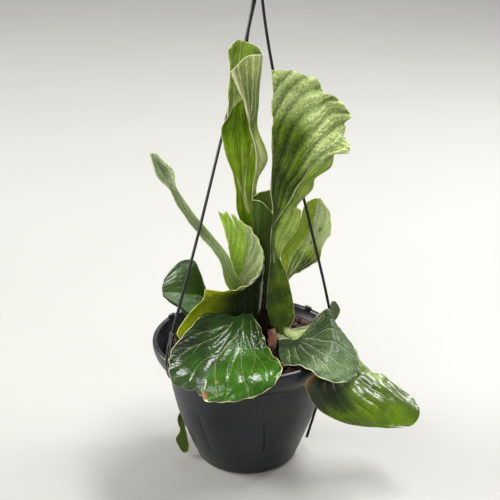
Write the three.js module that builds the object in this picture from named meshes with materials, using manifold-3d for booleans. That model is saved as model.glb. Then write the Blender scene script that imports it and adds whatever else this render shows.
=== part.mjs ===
// A staghorn fern growing in a hanging pot. Millimetres, +Z up, +X to the right of the front view.
// The origin is the centre of the pot's underside. The front, where the big shield leaf hangs, faces -Y.
import * as THREE from "three";
import { mergeVertices } from "three/addons/utils/BufferGeometryUtils.js";
import Module from "manifold-3d";

const wasm = await Module();
wasm.setup();

// Sizes that the object follows.
const POT_HEIGHT = 141;
const POT_RIM_RADIUS = 100;
const POT_WALL = 2.2;
const POT_STEPS = 40;
const GROOVE_ANGLES = [281, 229, 175, 119, 65, 11];
const GROOVE_BOTTOM = new THREE.Vector2(56.6, 9);
const GROOVE_TOP = new THREE.Vector2(72.6, 50);
const GROOVE_WIDTH = 2.4;
const GROOVE_DEPTH = 1;
const DRAIN_HOLE_RADIUS = 4;
const DRAIN_RING_RADIUS = 30;
const DRAIN_HOLES = 4;
const RIM_LUG_ANGLES = [43, 150];
const RIM_LUG = { thickness: 3, width: 9, height: 8, radius: 95.5 };
const SOIL_TOP = 127;
const SOIL_GAP = 0.5;
const CROWN_X = 19;
const CROWN_Y = 1;
const FROND_THICKNESS = 1.3;
const SHIELD_THICKNESS = 1.5;
const STALK_THICKNESS = 2.6;
const SEAT_GAP = 0.9;
const STRAND_RADIUS = 1.5;
const STRAND_SIDES = 8;
const CLIP_WIDTH = 6.4;
const CLIP_THICKNESS = 2;
const HUB = [14, 20, 512];
const HUB_HEIGHT = 14;
const HUB_TOP_RADIUS = 7.5;
const HUB_BOTTOM_RADIUS = 8.5;
const HUB_HOLE_RADIUS = 2.6;
const HUB_HOLE_RING = 4;
const HUB_HOLE_DEPTH = 6;
const HOOK_RADIUS = 14;
const HOOK_SHANK = 20;
const HOOK_ROD_RADIUS = 2.2;

const DEGREE = Math.PI / 180;

// Solids.

function solidOf(geometry) {
  const bare = geometry.clone();
  bare.deleteAttribute("normal");
  bare.deleteAttribute("uv");
  const merged = mergeVertices(bare, 1e-4);
  const mesh = new wasm.Mesh({
    numProp: 3,
    vertProperties: merged.attributes.position.array,
    triVerts: new Uint32Array(merged.index.array),
  });
  return new wasm.Manifold(mesh);
}

function geometryOf(solid) {
  const mesh = solid.getMesh();
  const geometry = new THREE.BufferGeometry();
  geometry.setAttribute("position", new THREE.BufferAttribute(mesh.vertProperties, 3));
  geometry.setIndex(new THREE.BufferAttribute(mesh.triVerts, 1));
  geometry.computeVertexNormals();
  return geometry;
}

// The largest body that a cut leaves.
function mainBody(solid) {
  const bodies = solid.decompose();
  return bodies.reduce((best, body) => (body.volume() > best.volume() ? body : best));
}

// Curves and blades.

// Points spread evenly along a smooth curve through the given ones.
function curveThrough(points, count) {
  const first = points[0].clone().multiplyScalar(2).sub(points[1]);
  const last = points.at(-1).clone().multiplyScalar(2).sub(points.at(-2));
  const padded = [first, ...points, last];
  const spans = points.length - 1;
  const result = [];
  for (let i = 0; i < count; i++) {
    const place = (i / (count - 1)) * spans;
    const span = Math.min(Math.floor(place), spans - 1);
    const t = place - span;
    const [a, b, c, d] = padded.slice(span, span + 4);
    const point = new THREE.Vector3();
    for (const axis of ["x", "y", "z"]) {
      point[axis] =
        0.5 *
        (2 * b[axis] +
          (c[axis] - a[axis]) * t +
          (2 * a[axis] - 5 * b[axis] + 4 * c[axis] - d[axis]) * t * t +
          (3 * b[axis] - a[axis] - 3 * c[axis] + d[axis]) * t * t * t);
    }
    result.push(point);
  }
  return result;
}

// A grid of points through rows that cross the blade from its left margin to its right one,
// the first row at the crown and the last at the tip.
function bladeGrid(rows, along, across) {
  const lines = rows.map((row) => {
    const margins = row.map((p) => new THREE.Vector3(...p));
    return curveThrough(margins, across + 1);
  });
  const columns = [];
  for (let j = 0; j <= across; j++) {
    columns.push(curveThrough(lines.map((line) => line[j]), along + 1));
  }
  return Array.from({ length: along + 1 }, (_, i) => columns.map((column) => column[i]));
}

function gridNormals(grid) {
  const lastRow = grid.length - 1;
  const lastColumn = grid[0].length - 1;
  return grid.map((row, i) =>
    row.map((_, j) => {
      const along = grid[Math.min(i + 1, lastRow)][j].clone().sub(grid[Math.max(i - 1, 0)][j]);
      const across = grid[i][Math.min(j + 1, lastColumn)].clone().sub(grid[i][Math.max(j - 1, 0)]);
      return across.cross(along).normalize();
    }),
  );
}

// Small waves that grow towards both side margins and die out at the crown.
function waveMargins(grid, height, count) {
  const normals = gridNormals(grid);
  const lastRow = grid.length - 1;
  const lastColumn = grid[0].length - 1;
  return grid.map((row, i) =>
    row.map((point, j) => {
      const side = (2 * j) / lastColumn - 1;
      const length = i / lastRow;
      const swing = Math.sin(2 * Math.PI * count * length + (side > 0 ? 1.3 : 0));
      const size = height * side ** 4 * Math.min(1, 3 * length) * swing;
      return point.clone().addScaledVector(normals[i][j], size);
    }),
  );
}

// A closed sheet with the same triangles on both faces.
function sheetSolid(grid, thickness) {
  const normals = gridNormals(grid);
  const rows = grid.length;
  const columns = grid[0].length;
  const positions = [];
  for (const side of [0.5, -0.5]) {
    grid.forEach((row, i) =>
      row.forEach((point, j) => {
        const moved = point.clone().addScaledVector(normals[i][j], side * thickness);
        positions.push(moved.x, moved.y, moved.z);
      }),
    );
  }
  const at = (i, j, face) => face * rows * columns + i * columns + j;
  const index = [];
  const quad = (a, b, c, d) => index.push(a, b, c, a, c, d);
  for (let i = 0; i < rows - 1; i++) {
    for (let j = 0; j < columns - 1; j++) {
      quad(at(i, j, 0), at(i, j + 1, 0), at(i + 1, j + 1, 0), at(i + 1, j, 0));
      index.push(at(i, j, 1), at(i + 1, j + 1, 1), at(i, j + 1, 1));
      index.push(at(i, j, 1), at(i + 1, j, 1), at(i + 1, j + 1, 1));
    }
    quad(at(i, 0, 0), at(i + 1, 0, 0), at(i + 1, 0, 1), at(i, 0, 1));
    quad(at(i, columns - 1, 1), at(i + 1, columns - 1, 1), at(i + 1, columns - 1, 0), at(i, columns - 1, 0));
  }
  for (let j = 0; j < columns - 1; j++) {
    quad(at(0, j, 1), at(0, j + 1, 1), at(0, j + 1, 0), at(0, j, 0));
    quad(at(rows - 1, j, 0), at(rows - 1, j + 1, 0), at(rows - 1, j + 1, 1), at(rows - 1, j, 1));
  }
  const geometry = new THREE.BufferGeometry();
  geometry.setAttribute("position", new THREE.BufferAttribute(new Float32Array(positions), 3));
  geometry.setIndex(index);
  return solidOf(geometry);
}

function bladeSolid(rows, { along, across, thickness = FROND_THICKNESS, wave = 0, waves = 4 }) {
  const grid = bladeGrid(rows, along, across);
  return sheetSolid(wave ? waveMargins(grid, wave, waves) : grid, thickness);
}

// A round rod along a smooth curve.
function rodSolid(points, radius, steps) {
  const path = new THREE.CatmullRomCurve3(points.map((p) => new THREE.Vector3(...p)), false, "centripetal");
  const circle = new THREE.Shape();
  for (let k = 0; k < STRAND_SIDES; k++) {
    const angle = (2 * Math.PI * k) / STRAND_SIDES;
    const x = radius * Math.cos(angle);
    const y = radius * Math.sin(angle);
    if (k === 0) circle.moveTo(x, y);
    else circle.lineTo(x, y);
  }
  return solidOf(new THREE.ExtrudeGeometry(circle, { steps, extrudePath: path, bevelEnabled: false }));
}

function boxSolid(width, depth, height) {
  return solidOf(new THREE.BoxGeometry(width, depth, height));
}

// An upright round bar whose foot stands at the origin.
function barSolid(topRadius, bottomRadius, height, steps) {
  return solidOf(new THREE.CylinderGeometry(topRadius, bottomRadius, height, steps))
    .rotate([90, 0, 0])
    .translate(0, 0, height / 2);
}

function latheSolid(profile, steps) {
  const points = profile.map(([radius, height]) => new THREE.Vector2(radius, height));
  const geometry = new THREE.LatheGeometry(points, steps);
  geometry.rotateX(Math.PI / 2);
  return solidOf(geometry);
}

// Pot: a thin plastic bowl with a rounded foot and a flared collar under its lip.

const POT_OUTSIDE = [
  [50, 0],
  [54, 3],
  [57.5, 11],
  [60.5, 18],
  [66, 33],
  [71, 46],
  [74.5, 57],
  [77, 67],
  [80, 82],
  [82.5, 96],
  [84.5, 113],
  [89, 116.5],
  [93, 119.5],
  [97, 125.5],
  [99.5, 133],
  [POT_RIM_RADIUS, 137],
  [99, 140],
  [97, POT_HEIGHT],
  [95, 140],
  [94, 137],
];
const POT_INSIDE = [
  [90, 126],
  [82.5, 114],
  [80.2, 96],
  [77.8, 82],
  [74.8, 67],
  [72.2, 57],
  [68.7, 46],
  [63.7, 33],
  [57.5, 16],
  [53, 6],
  [49, POT_WALL],
];

function makePot() {
  const profile = [[0, 0], ...POT_OUTSIDE, ...POT_INSIDE, [0, POT_WALL]];
  let pot = latheSolid(profile, POT_STEPS);
  const length = GROOVE_TOP.distanceTo(GROOVE_BOTTOM);
  const lean = Math.atan2(GROOVE_TOP.x - GROOVE_BOTTOM.x, GROOVE_TOP.y - GROOVE_BOTTOM.y) / DEGREE;
  const middle = GROOVE_TOP.clone().add(GROOVE_BOTTOM).multiplyScalar(0.5);
  const groove = boxSolid(2 * GROOVE_DEPTH, GROOVE_WIDTH, length)
    .rotate([0, lean, 0])
    .translate(middle.x, 0, middle.y);
  for (const angle of GROOVE_ANGLES) {
    pot = pot.subtract(groove.rotate([0, 0, angle]));
  }
  for (let k = 0; k < DRAIN_HOLES; k++) {
    const angle = (k + 0.5) * (360 / DRAIN_HOLES) * DEGREE;
    const drill = barSolid(DRAIN_HOLE_RADIUS, DRAIN_HOLE_RADIUS, 4 * POT_WALL, 12);
    const x = DRAIN_RING_RADIUS * Math.cos(angle);
    const y = DRAIN_RING_RADIUS * Math.sin(angle);
    pot = pot.subtract(drill.translate(x, y, -POT_WALL));
  }
  for (const angle of RIM_LUG_ANGLES) {
    const lug = boxSolid(RIM_LUG.thickness, RIM_LUG.width, RIM_LUG.height);
    pot = pot.add(lug.translate(RIM_LUG.radius, 0, POT_HEIGHT - 1).rotate([0, 0, angle]));
  }
  return pot;
}

// Soil: a coarse bark mix that fills the pot to just under its rim.
function makeSoil() {
  const rings = [0, 18, 36, 54, 70, 85];
  const profile = [
    [0, POT_WALL + SOIL_GAP],
    [48, POT_WALL + SOIL_GAP],
    [56.6, 17],
    [63, 33],
    [68, 46],
    [71.5, 57],
    [74.1, 67],
    [77.1, 82],
    [79.6, 96],
    [81.8, 114],
    [86, 120.5],
    [87, SOIL_TOP - 4],
    ...rings.toReversed().map((radius) => [radius, SOIL_TOP]),
  ];
  const points = profile.map(([radius, height]) => new THREE.Vector2(radius, height));
  const geometry = new THREE.LatheGeometry(points, POT_STEPS);
  geometry.rotateX(Math.PI / 2);
  const place = geometry.attributes.position;
  for (let i = 0; i < place.count; i++) {
    if (place.getZ(i) < SOIL_TOP - 0.5) continue;
    const x = place.getX(i);
    const y = place.getY(i);
    const broad = 1.6 * Math.sin(0.23 * x + 1) * Math.cos(0.19 * y);
    const fine = 0.9 * Math.sin(0.41 * (x - y));
    place.setZ(i, SOIL_TOP + broad + fine);
  }
  return solidOf(geometry);
}

// Crown: the dark fibrous heart that every frond grows from. It stands in a hollow in the soil.
const CROWN_PROFILE = [
  [0, 112],
  [19, 112],
  [22, 126],
  [21, 138],
  [19, 152],
  [17, 166],
  [14, 177],
  [9, 185],
  [0, 188],
];

// extra: how far the crown is grown, to cut room for it out of what stands round it.
function crownSolid(extra) {
  const [, foot] = CROWN_PROFILE[0];
  const [, tip] = CROWN_PROFILE.at(-1);
  const points = CROWN_PROFILE.map(([radius, height]) => {
    let grownHeight = height;
    if (height === foot) grownHeight -= extra;
    if (height === tip) grownHeight += extra;
    return new THREE.Vector2(radius ? radius + extra : 0, grownHeight);
  });
  const geometry = new THREE.LatheGeometry(points, 24);
  geometry.rotateX(Math.PI / 2);
  const place = geometry.attributes.position;
  for (let i = 0; i < place.count; i++) {
    const x = place.getX(i);
    const y = place.getY(i);
    const around = Math.atan2(y, x);
    const lobes = 0.06 * Math.sin(3 * around + 0.5);
    const ridges = 0.04 * Math.sin(7 * around + 0.1 * place.getZ(i));
    const swell = 1 + lobes + ridges;
    place.setXYZ(i, x * swell, y * swell, place.getZ(i));
  }
  return solidOf(geometry).translate(CROWN_X, CROWN_Y, 0);
}

// Fronds. Each row below crosses the blade from margin to margin, from the crown to the tip.

// The tall frond: a funnel whose right half is rolled over to the front.
const TALL_ROWS = [
  [[8, 10, 150], [10, 13, 148], [12, 14, 147], [14, 14, 148], [16, 12, 150], [16, 10, 151], [15, 8, 152]],
  [[4, 15, 220], [7, 19, 217], [11, 21, 215], [14, 20, 217], [17, 17, 220], [17, 14, 221], [14, 12, 222]],
  [[-9, 7, 283], [-4, 11, 280], [2, 14, 278], [7, 14, 279], [11, 12, 284], [10, 9, 284], [7, 8, 283]],
  [[-10, 1, 309], [-5, 6, 309], [0, 10, 309], [6, 10, 311], [12, 7, 313], [11, 4, 312], [8, 1, 311]],
  [[-19, -14, 346], [-9, -7, 347], [3, 1, 346], [12, 3, 345], [22, -3, 340], [17, -9, 338], [11, -11, 339]],
  [[-23, -22, 372], [-12, -13, 375], [1, -4, 375], [7, -4, 374], [12, -9, 372], [9, -15, 372], [5, -18, 374]],
  [[-15, -22, 393], [-9, -12, 397], [2, -7, 398], [7, -8, 397], [13, -15, 397], [9, -23, 392], [2, -25, 389]],
  [[-13, -20, 418], [-8, -12, 420], [2, -8, 420], [9, -10, 420], [14, -18, 416],
    [7, -28, 410], [-2, -30, 406]],
  [[-14, -22, 440], [-8, -13, 442], [2, -9, 441], [11, -11, 439], [16, -20, 433],
    [5, -33, 429], [-8, -35, 422]],
  [[-15, -24, 453], [-6, -16, 460], [4, -10, 456], [12, -12, 453], [17, -20, 447],
    [3, -34, 448], [-13, -38, 434]],
];

// The big fan: an upright corrugated blade on a folded neck, with a broad wing at its foot.
const FAN_ROWS = [
  [[24, -13, 162], [29, -20, 159], [36, -27, 156], [50, -33, 152], [62, -30, 155]],
  [[22, -13, 175], [27, -21, 175], [34, -27, 176], [42, -30, 178], [50, -29, 176]],
  [[22, -13, 191], [26, -20, 193], [32, -26, 194], [40, -28, 195], [48, -26, 195]],
  [[24, -13, 219], [27, -18, 220], [31, -22, 220], [37, -26, 222], [42, -25, 223]],
  [[26, -13, 236], [27, -16, 236], [29, -20, 238], [31, -25, 241], [35, -24, 240]],
  [[26, -13, 252], [27, -16, 252], [28, -19, 253], [29, -25, 256], [41, -20, 253]],
  [[27, -13, 272], [28, -16, 271], [29, -19, 271], [31, -24, 272], [52, -18, 268]],
  [[28, -13, 291], [31, -16, 286], [34, -19, 285], [38, -24, 286], [57, -16, 286]],
  [[26, -12, 308], [32, -16, 303], [38, -20, 301], [47, -24, 301], [68, -14, 308]],
  [[26, -10, 324], [34, -15, 319], [42, -19, 316], [52, -24, 314], [71, -14, 322]],
  [[27, -9, 340], [38, -15, 334], [49, -20, 329], [61, -24, 327], [86, -13, 334]],
  [[27, -8, 358], [40, -16, 353], [54, -20, 347], [69, -20, 343], [90, -10, 344]],
  [[27, -8, 376], [41, -16, 373], [57, -20, 367], [76, -15, 357], [103, -5, 345]],
  [[28, -8, 395], [43, -15, 392], [61, -17, 386], [81, -10, 374], [101, 0, 360]],
  [[28, -8, 414], [44, -13, 411], [64, -14, 405], [84, -7, 391], [101, 3, 373]],
  [[26, -8, 430], [43, -11, 431], [57, -11, 427], [75, -9, 422], [85, -7, 408], [98, -2, 394], [107, 4, 381]],
];

// The dark young frond in the middle, rolled into an open tube.
const MIDDLE_ROWS = [
  [[24, 6, 160], [20, 8, 160], [15, 4, 160], [18, -1, 160], [23, -1, 160]],
  [[27, 6, 215], [20, 8, 216], [13, 4, 215], [19, -3, 216], [26, -3, 215]],
  [[28, 6, 255], [19, 8, 256], [9, 2, 255], [17, -6, 255], [27, -5, 253]],
  [[28, 6, 303], [13, 5, 299], [7, -2, 295], [17, -8, 294], [29, -8, 280]],
];

// The cup: a blade bent round on itself. Its low front wall runs out to a tongue on the left, and
// its high back wall stands behind the long arm.
const CUP_ROWS = [
  [[-67, -64, 168], [-41, -46, 188], [-11, -28, 172], [5, -18, 162], [13, -11, 163], [11, -3, 169],
    [3, 0, 179], [-5, -2, 191], [-13, -6, 200]],
  [[-69, -65, 177], [-41, -47, 199], [-10, -31, 190], [8, -19, 181], [15, -11, 184], [12, -3, 192], [3, 1, 202],
    [-6, -1, 211], [-15, -6, 216]],
  [[-56, -58, 195], [-36, -48, 206], [-9, -33, 201], [9, -21, 200], [17, -12, 210], [13, -4, 222], [4, 1, 231],
    [-7, -1, 237], [-17, -7, 237]],
  [[-44, -53, 206], [-30, -47, 210], [-4, -33, 207], [14, -22, 217], [18, -14, 231], [12, -6, 244], [1, -1, 251],
    [-10, -2, 257], [-20, -8, 260]],
  [[-41, -50, 217], [-20, -43, 211], [2, -33, 214], [15, -22, 227], [17, -15, 244], [6, -10, 265], [-8, -6, 277],
    [-19, -5, 283], [-29, -8, 287]],
];

// A narrow tear in the cup's top margin.
function cupTear() {
  const outline = new THREE.Shape();
  outline.moveTo(-2, 8);
  outline.lineTo(0, -9);
  outline.lineTo(2, 8);
  outline.closePath();
  const wedge = new THREE.ExtrudeGeometry(outline, { depth: 16, bevelEnabled: false });
  wedge.translate(0, 0, -8);
  wedge.rotateX(Math.PI / 2);
  return solidOf(wedge).translate(-8, -6, 275);
}

// The long arm: a narrow channelled blade that reaches out of the cup to the upper left.
const ARM_ROWS = [
  [[8, -8, 172], [10, -6, 175], [12, -7, 180]],
  [[-8, -18, 194], [-4, -15, 198], [0, -17, 203]],
  [[-20, -28, 211], [-15, -24, 216], [-10, -26, 223]],
  [[-27, -30, 240], [-22, -26, 242], [-17, -30, 244]],
  [[-44, -31, 264], [-40, -26, 268], [-34, -31, 268]],
  [[-56, -30, 280], [-53, -25, 284], [-49, -30, 287]],
  [[-67, -29, 297], [-64, -23, 301], [-59, -29, 302]],
  [[-76, -27, 315], [-74, -19, 318], [-68, -26, 317]],
  [[-87, -24, 326], [-80, -16, 331], [-70, -25, 333]],
  [[-91, -22, 339], [-87, -16, 341], [-78, -24, 341]],
  [[-94, -20, 349], [-92, -17, 349], [-87, -20, 350]],
];

// The trough: an upright blade folded along its back, on the right behind the fan.
const TROUGH_ROWS = [
  [[22, 6, 170], [25, 9, 168], [28, 9, 168], [30, 5, 170]],
  [[37, 14, 212], [41, 18, 206], [44, 19, 203], [46, 14, 199]],
  [[35, 16, 234], [43, 22, 222], [50, 22, 214], [58, 16, 206]],
  [[44, 16, 242], [50, 24, 233], [57, 25, 225], [70, 15, 216]],
  [[49, 16, 250], [55, 25, 243], [62, 27, 237], [79, 14, 222]],
  [[55, 16, 259], [60, 25, 253], [67, 28, 248], [82, 17, 238]],
  [[58, 16, 268], [64, 25, 263], [72, 28, 258], [90, 15, 252]],
  [[60, 16, 277], [67, 25, 274], [76, 28, 269], [89, 17, 267]],
  [[62, 18, 283], [70, 23, 286], [78, 25, 286], [84, 20, 281]],
];

// The round leaf on the left, standing over the pot's rim.
const LEFT_LEAF_ROWS = [
  [[6, 2, 171], [6, 1, 168], [6, 0, 164]],
  [[-21, -9, 188], [-21, -12, 181], [-21, -12, 173]],
  [[-38, -18, 199], [-38, -22, 190], [-37, -22, 180]],
  [[-46, -20, 221], [-48, -28, 206], [-47, -30, 179]],
  [[-53, -20, 236], [-57, -31, 213], [-57, -34, 177]],
  [[-66, -20, 235], [-68, -32, 216], [-68, -36, 184]],
  [[-78, -20, 224], [-78, -28, 212], [-78, -34, 193]],
  [[-84, -22, 215], [-86, -25, 207], [-85, -30, 200]],
];

// The big glossy shield leaf that hangs over the front of the rim, and its stalk.
const FRONT_SHIELD_ROWS = [
  [[-47, -58, 189], [-36, -54, 191], [-24, -47, 189], [-12, -40, 181], [-2, -30, 180], [6, -25, 177]],
  [[-60, -66, 177], [-43, -62, 177], [-26, -56, 174], [-10, -49, 167], [4, -40, 161], [16, -30, 160]],
  [[-75, -72, 159], [-52, -78, 162], [-30, -78, 159], [-10, -74, 155], [8, -62, 149], [23, -46, 146]],
  [[-77, -82, 145], [-56, -96, 149], [-34, -106, 149], [-12, -108, 148], [11, -100, 146], [36, -84, 146]],
  [[-75, -88, 134], [-58, -102, 137], [-38, -116, 138], [-14, -120, 137], [9, -114, 136], [31, -103, 144]],
  [[-66, -94, 129], [-56, -101, 130], [-47, -108, 132], [-43, -118, 127], [-33, -122, 127], [-18, -124, 128],
    [3, -120, 130], [14, -116, 133], [24, -110, 137]],
];
const FRONT_STALK_ROWS = [
  [[6, -12, 150], [12, -14, 149], [18, -14, 148]],
  [[4, -26, 158], [10, -25, 156], [16, -23, 154]],
  [[-2, -38, 167], [5, -37, 164], [12, -33, 161]],
];

// The grey-green shield leaf over the right of the rim, and its stalk.
const RIGHT_SHIELD_ROWS = [
  [[34, -26, 148], [34, -30, 144], [34, -37, 140], [35, -46, 136], [38, -57, 133]],
  [[53, -24, 151], [53, -33, 147], [52, -44, 143], [51, -57, 140], [50, -71, 141]],
  [[69, -12, 160], [71, -28, 153], [70, -46, 148], [66, -64, 145], [60, -85, 145]],
  [[85, -9, 175], [89, -22, 163], [89, -43, 152], [83, -66, 145], [73, -88, 136]],
  [[94, -12, 158], [100, -24, 152], [101, -42, 145], [97, -62, 136], [88, -84, 128]],
  [[106, -22, 147], [110, -30, 141], [111, -42, 136], [108, -57, 128], [101, -72, 122]],
  [[112, -30, 138], [114, -36, 133], [116, -44, 126], [114, -52, 122], [108, -62, 119]],
];
const RIGHT_STALK_ROWS = [
  [[32, -4, 146], [31, -9, 147], [30, -14, 146]],
  [[47, -22, 149], [45, -28, 149], [43, -34, 147]],
  [[57, -32, 150], [55, -38, 149], [53, -44, 147]],
];

// The long low leaf that crosses the rim under the right shield and spreads outside the pot.
const LOW_ROWS = [
  [[34, -2, 141], [34, -5, 140], [34, -8, 140], [34, -11, 139], [33, -14, 139]],
  [[74, -8, 144], [74, -12, 144], [74, -16, 144], [74, -20, 144], [74, -24, 144]],
  [[99, -9, 146], [99, -13, 146], [99, -17, 146], [99, -20, 146], [98, -24, 145]],
  [[111, -11, 134], [109, -24, 132], [105, -36, 133], [99, -47, 135], [92, -57, 137]],
  [[119, -16, 125], [110, -38, 123], [98, -58, 123], [81, -76, 127], [62, -88, 135]],
  [[127, -18, 110], [117, -34, 109], [101, -62, 110], [82, -82, 113], [62, -90, 118]],
  [[142, -20, 103], [131, -42, 101], [115, -64, 97], [97, -80, 95], [75, -89, 98]],
  [[160, -24, 91], [151, -40, 90], [139, -58, 86], [120, -74, 81], [100, -84, 81]],
  [[176, -30, 80], [168, -42, 79], [157, -54, 75], [145, -64, 70], [129, -72, 69]],
  [[182, -40, 72], [178, -45, 68], [172, -50, 65], [165, -56, 63], [156, -61, 66]],
];

// The small back leaf on the right, just behind the right strand.
const BACK_LEAF_ROWS = [
  [[34, 3, 139], [34, 6, 140], [34, 9, 139]],
  [[66, 6, 144], [66, 10, 145], [66, 14, 144]],
  [[83, 10, 146], [85, 13, 145], [86, 16, 144]],
  [[88, 12, 157], [92, 15, 155], [97, 16, 151]],
  [[90, 13, 167], [95, 16, 165], [101, 15, 162]],
  [[92, 14, 173], [95, 15, 173], [98, 15, 170]],
];

// The narrow leaf that hangs over the back left of the rim and down beside the pot.
const HANGING_ROWS = [
  [[10, 8, 146], [10, 12, 147], [11, 15, 146]],
  [[-26, 38, 146], [-24, 42, 148], [-21, 45, 146]],
  [[-55, 71, 149], [-53, 76, 151], [-49, 80, 149]],
  [[-65, 83, 140], [-62, 88, 141], [-58, 92, 139]],
  [[-76, 76, 108], [-73, 81, 108], [-69, 85, 107]],
  [[-80, 50, 72], [-80, 56, 72], [-78, 61, 71]],
  [[-73, 16, 44], [-77, 21, 42], [-78, 28, 43]],
  [[-66, -10, 22], [-73, -5, 20], [-78, 2, 22]],
  [[-64, -17, 9], [-70, -14, 5], [-75, -8, 8]],
];

// The dry brown scrap of an old shield leaf in front of the crown.
const SCRAP_ROWS = [
  [[22, -14, 156], [26, -14, 155], [31, -12, 154]],
  [[23, -22, 151], [27, -23, 151], [32, -20, 150]],
  [[23, -27, 143], [27, -29, 142], [32, -26, 141]],
  [[24, -29, 133], [27, -31, 133], [30, -30, 133]],
];

// Hanger: three stiff plastic strands, each moulded with a flat clip that hooks under the rim,
// and a hub with a hook that their tops stand in.

// The clip in the plane of its own strand: distances from the pot's axis and heights.
const CLIP_FOOT = [
  [101.5, 143],
  [101.6, 134],
  [99.8, 125],
  [96.2, 119.4],
  [93.4, 116.6],
];

function clipSolid(angle, upper) {
  const line = [...upper, ...CLIP_FOOT];
  const outline = new THREE.Shape();
  const half = CLIP_THICKNESS / 2;
  const sides = line.map(([radius, height], i) => {
    const before = line[Math.max(i - 1, 0)];
    const after = line[Math.min(i + 1, line.length - 1)];
    const along = new THREE.Vector2(after[0] - before[0], after[1] - before[1]).normalize();
    const outward = new THREE.Vector2(-along.y, along.x).multiplyScalar(half);
    const middle = new THREE.Vector2(radius, height);
    return { outer: middle.clone().add(outward), inner: middle.clone().sub(outward) };
  });
  const loop = [...sides.map((s) => s.outer), ...sides.toReversed().map((s) => s.inner)];
  outline.setFromPoints(loop);
  const bar = new THREE.ExtrudeGeometry(outline, { depth: CLIP_WIDTH, bevelEnabled: false });
  bar.translate(0, 0, -CLIP_WIDTH / 2);
  bar.rotateX(Math.PI / 2);
  bar.rotateZ(angle * DEGREE);
  return solidOf(bar);
}

function strandTop(angle) {
  const x = HUB[0] + HUB_HOLE_RING * Math.cos(angle * DEGREE);
  const y = HUB[1] + HUB_HOLE_RING * Math.sin(angle * DEGREE);
  return [
    [x, y, HUB[2] - 12],
    [x, y, HUB[2] + HUB_HOLE_DEPTH - 1],
  ];
}

// angle: where the clip sits on the rim, degrees from the right towards the back.
// upper: the clip above the rim, from its top, as distances from the pot's axis and heights.
function makeStrand({ angle, upper, middle, top, tail }) {
  const direction = [Math.cos(angle * DEGREE), Math.sin(angle * DEGREE)];
  const onClip = ([radius, height]) => [radius * direction[0], radius * direction[1], height];
  const [first, second] = upper;
  const inClip = onClip([(first[0] + second[0]) / 2, (first[1] + second[1]) / 2]);
  const rod = rodSolid([inClip, onClip(first), ...middle, ...strandTop(top)], STRAND_RADIUS, 16);
  let strand = rod.add(clipSolid(angle, upper));
  if (tail) strand = strand.add(rodSolid(tail, STRAND_RADIUS, 8));
  return strand;
}

const LEFT_STRAND = {
  angle: 218,
  upper: [[94.5, 172], [97, 163], [99.5, 153]],
  middle: [[-48, -39, 267], [-23, -14, 362], [2, 9, 456]],
  top: 200,
};
const RIGHT_STRAND = {
  angle: 1,
  upper: [[92, 156], [95, 150], [98.5, 146.5]],
  middle: [[81, 4, 205], [61, 9, 288], [28, 17, 426]],
  top: 330,
  tail: [[94.5, 1.5, 118], [89.5, 3, 108], [76.5, 8, 54], [65.5, 13, 9]],
};
const BACK_STRAND = {
  angle: 94,
  upper: [[94.5, 162], [97, 156], [99.5, 149]],
  middle: [[-4, 84, 220], [-1, 62, 330], [3, 31, 450]],
  top: 110,
};

function makeHook() {
  const [x, y, z] = HUB;
  let hub = barSolid(HUB_TOP_RADIUS, HUB_BOTTOM_RADIUS, HUB_HEIGHT, 16).translate(x, y, z);
  for (const { top } of [LEFT_STRAND, RIGHT_STRAND, BACK_STRAND]) {
    const [[holeX, holeY]] = strandTop(top);
    const hole = barSolid(HUB_HOLE_RADIUS, HUB_HOLE_RADIUS, 2 * HUB_HOLE_DEPTH, 12);
    hub = hub.subtract(hole.translate(holeX, holeY, z - HUB_HOLE_DEPTH));
  }
  const path = [[x, y, z + HUB_HEIGHT - 3], [x, y, z + HOOK_SHANK]];
  const centre = z + HOOK_SHANK + HOOK_RADIUS + 6;
  for (let turn = -70; turn <= 190; turn += 20) {
    const bend = turn * DEGREE;
    path.push([x + HOOK_RADIUS * Math.cos(bend), y, centre + HOOK_RADIUS * Math.sin(bend)]);
  }
  return hub.add(rodSolid(path, HOOK_ROD_RADIUS, 26));
}

// Materials.

function paint(colour, roughness, metalness = 0) {
  return new THREE.MeshStandardMaterial({ color: colour, roughness, metalness });
}

const plasticPaint = () => paint("#2f3034", 0.5);
const soilPaint = () => paint("#3a2a20", 0.95);
const crownPaint = () => paint("#2b2219", 0.95);
const scrapPaint = () => paint("#6b3f24", 0.9);
const freshPaint = () => paint("#7fa84a", 0.6);
const darkPaint = () => paint("#2f5a22", 0.55);
const palePaint = () => paint("#8aa86a", 0.7);
const glossPaint = () => paint("#2c6a1f", 0.25);
const greyPaint = () => paint("#5d7f58", 0.5);

// Assembly.

const part = new THREE.Group();
part.name = "staghorn_fern_in_hanging_pot";

function addPiece(name, solid, material) {
  const mesh = new THREE.Mesh(geometryOf(solid), material);
  mesh.name = name;
  part.add(mesh);
}

const crown = crownSolid(0);
const crownRoom = crownSolid(SEAT_GAP);
const seated = (blade) => mainBody(blade.subtract(crownRoom));

addPiece("pot", makePot(), plasticPaint());
addPiece("soil", mainBody(makeSoil().subtract(crownRoom)), soilPaint());
addPiece("crown", crown, crownPaint());
addPiece("old_leaf_scrap", seated(bladeSolid(SCRAP_ROWS, { along: 6, across: 4 })), scrapPaint());

addPiece("frond_tall", seated(bladeSolid(TALL_ROWS, { along: 22, across: 12 })), freshPaint());
addPiece("frond_fan", seated(bladeSolid(FAN_ROWS, { along: 30, across: 10 })), freshPaint());
addPiece("frond_middle", seated(bladeSolid(MIDDLE_ROWS, { along: 9, across: 10 })), darkPaint());
const cup = bladeSolid(CUP_ROWS, { along: 10, across: 22 }).subtract(cupTear());
addPiece("frond_cup", seated(cup), freshPaint());
addPiece("frond_arm", seated(bladeSolid(ARM_ROWS, { along: 22, across: 6 })), palePaint());
addPiece("frond_trough", seated(bladeSolid(TROUGH_ROWS, { along: 20, across: 8 })), palePaint());

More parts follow.
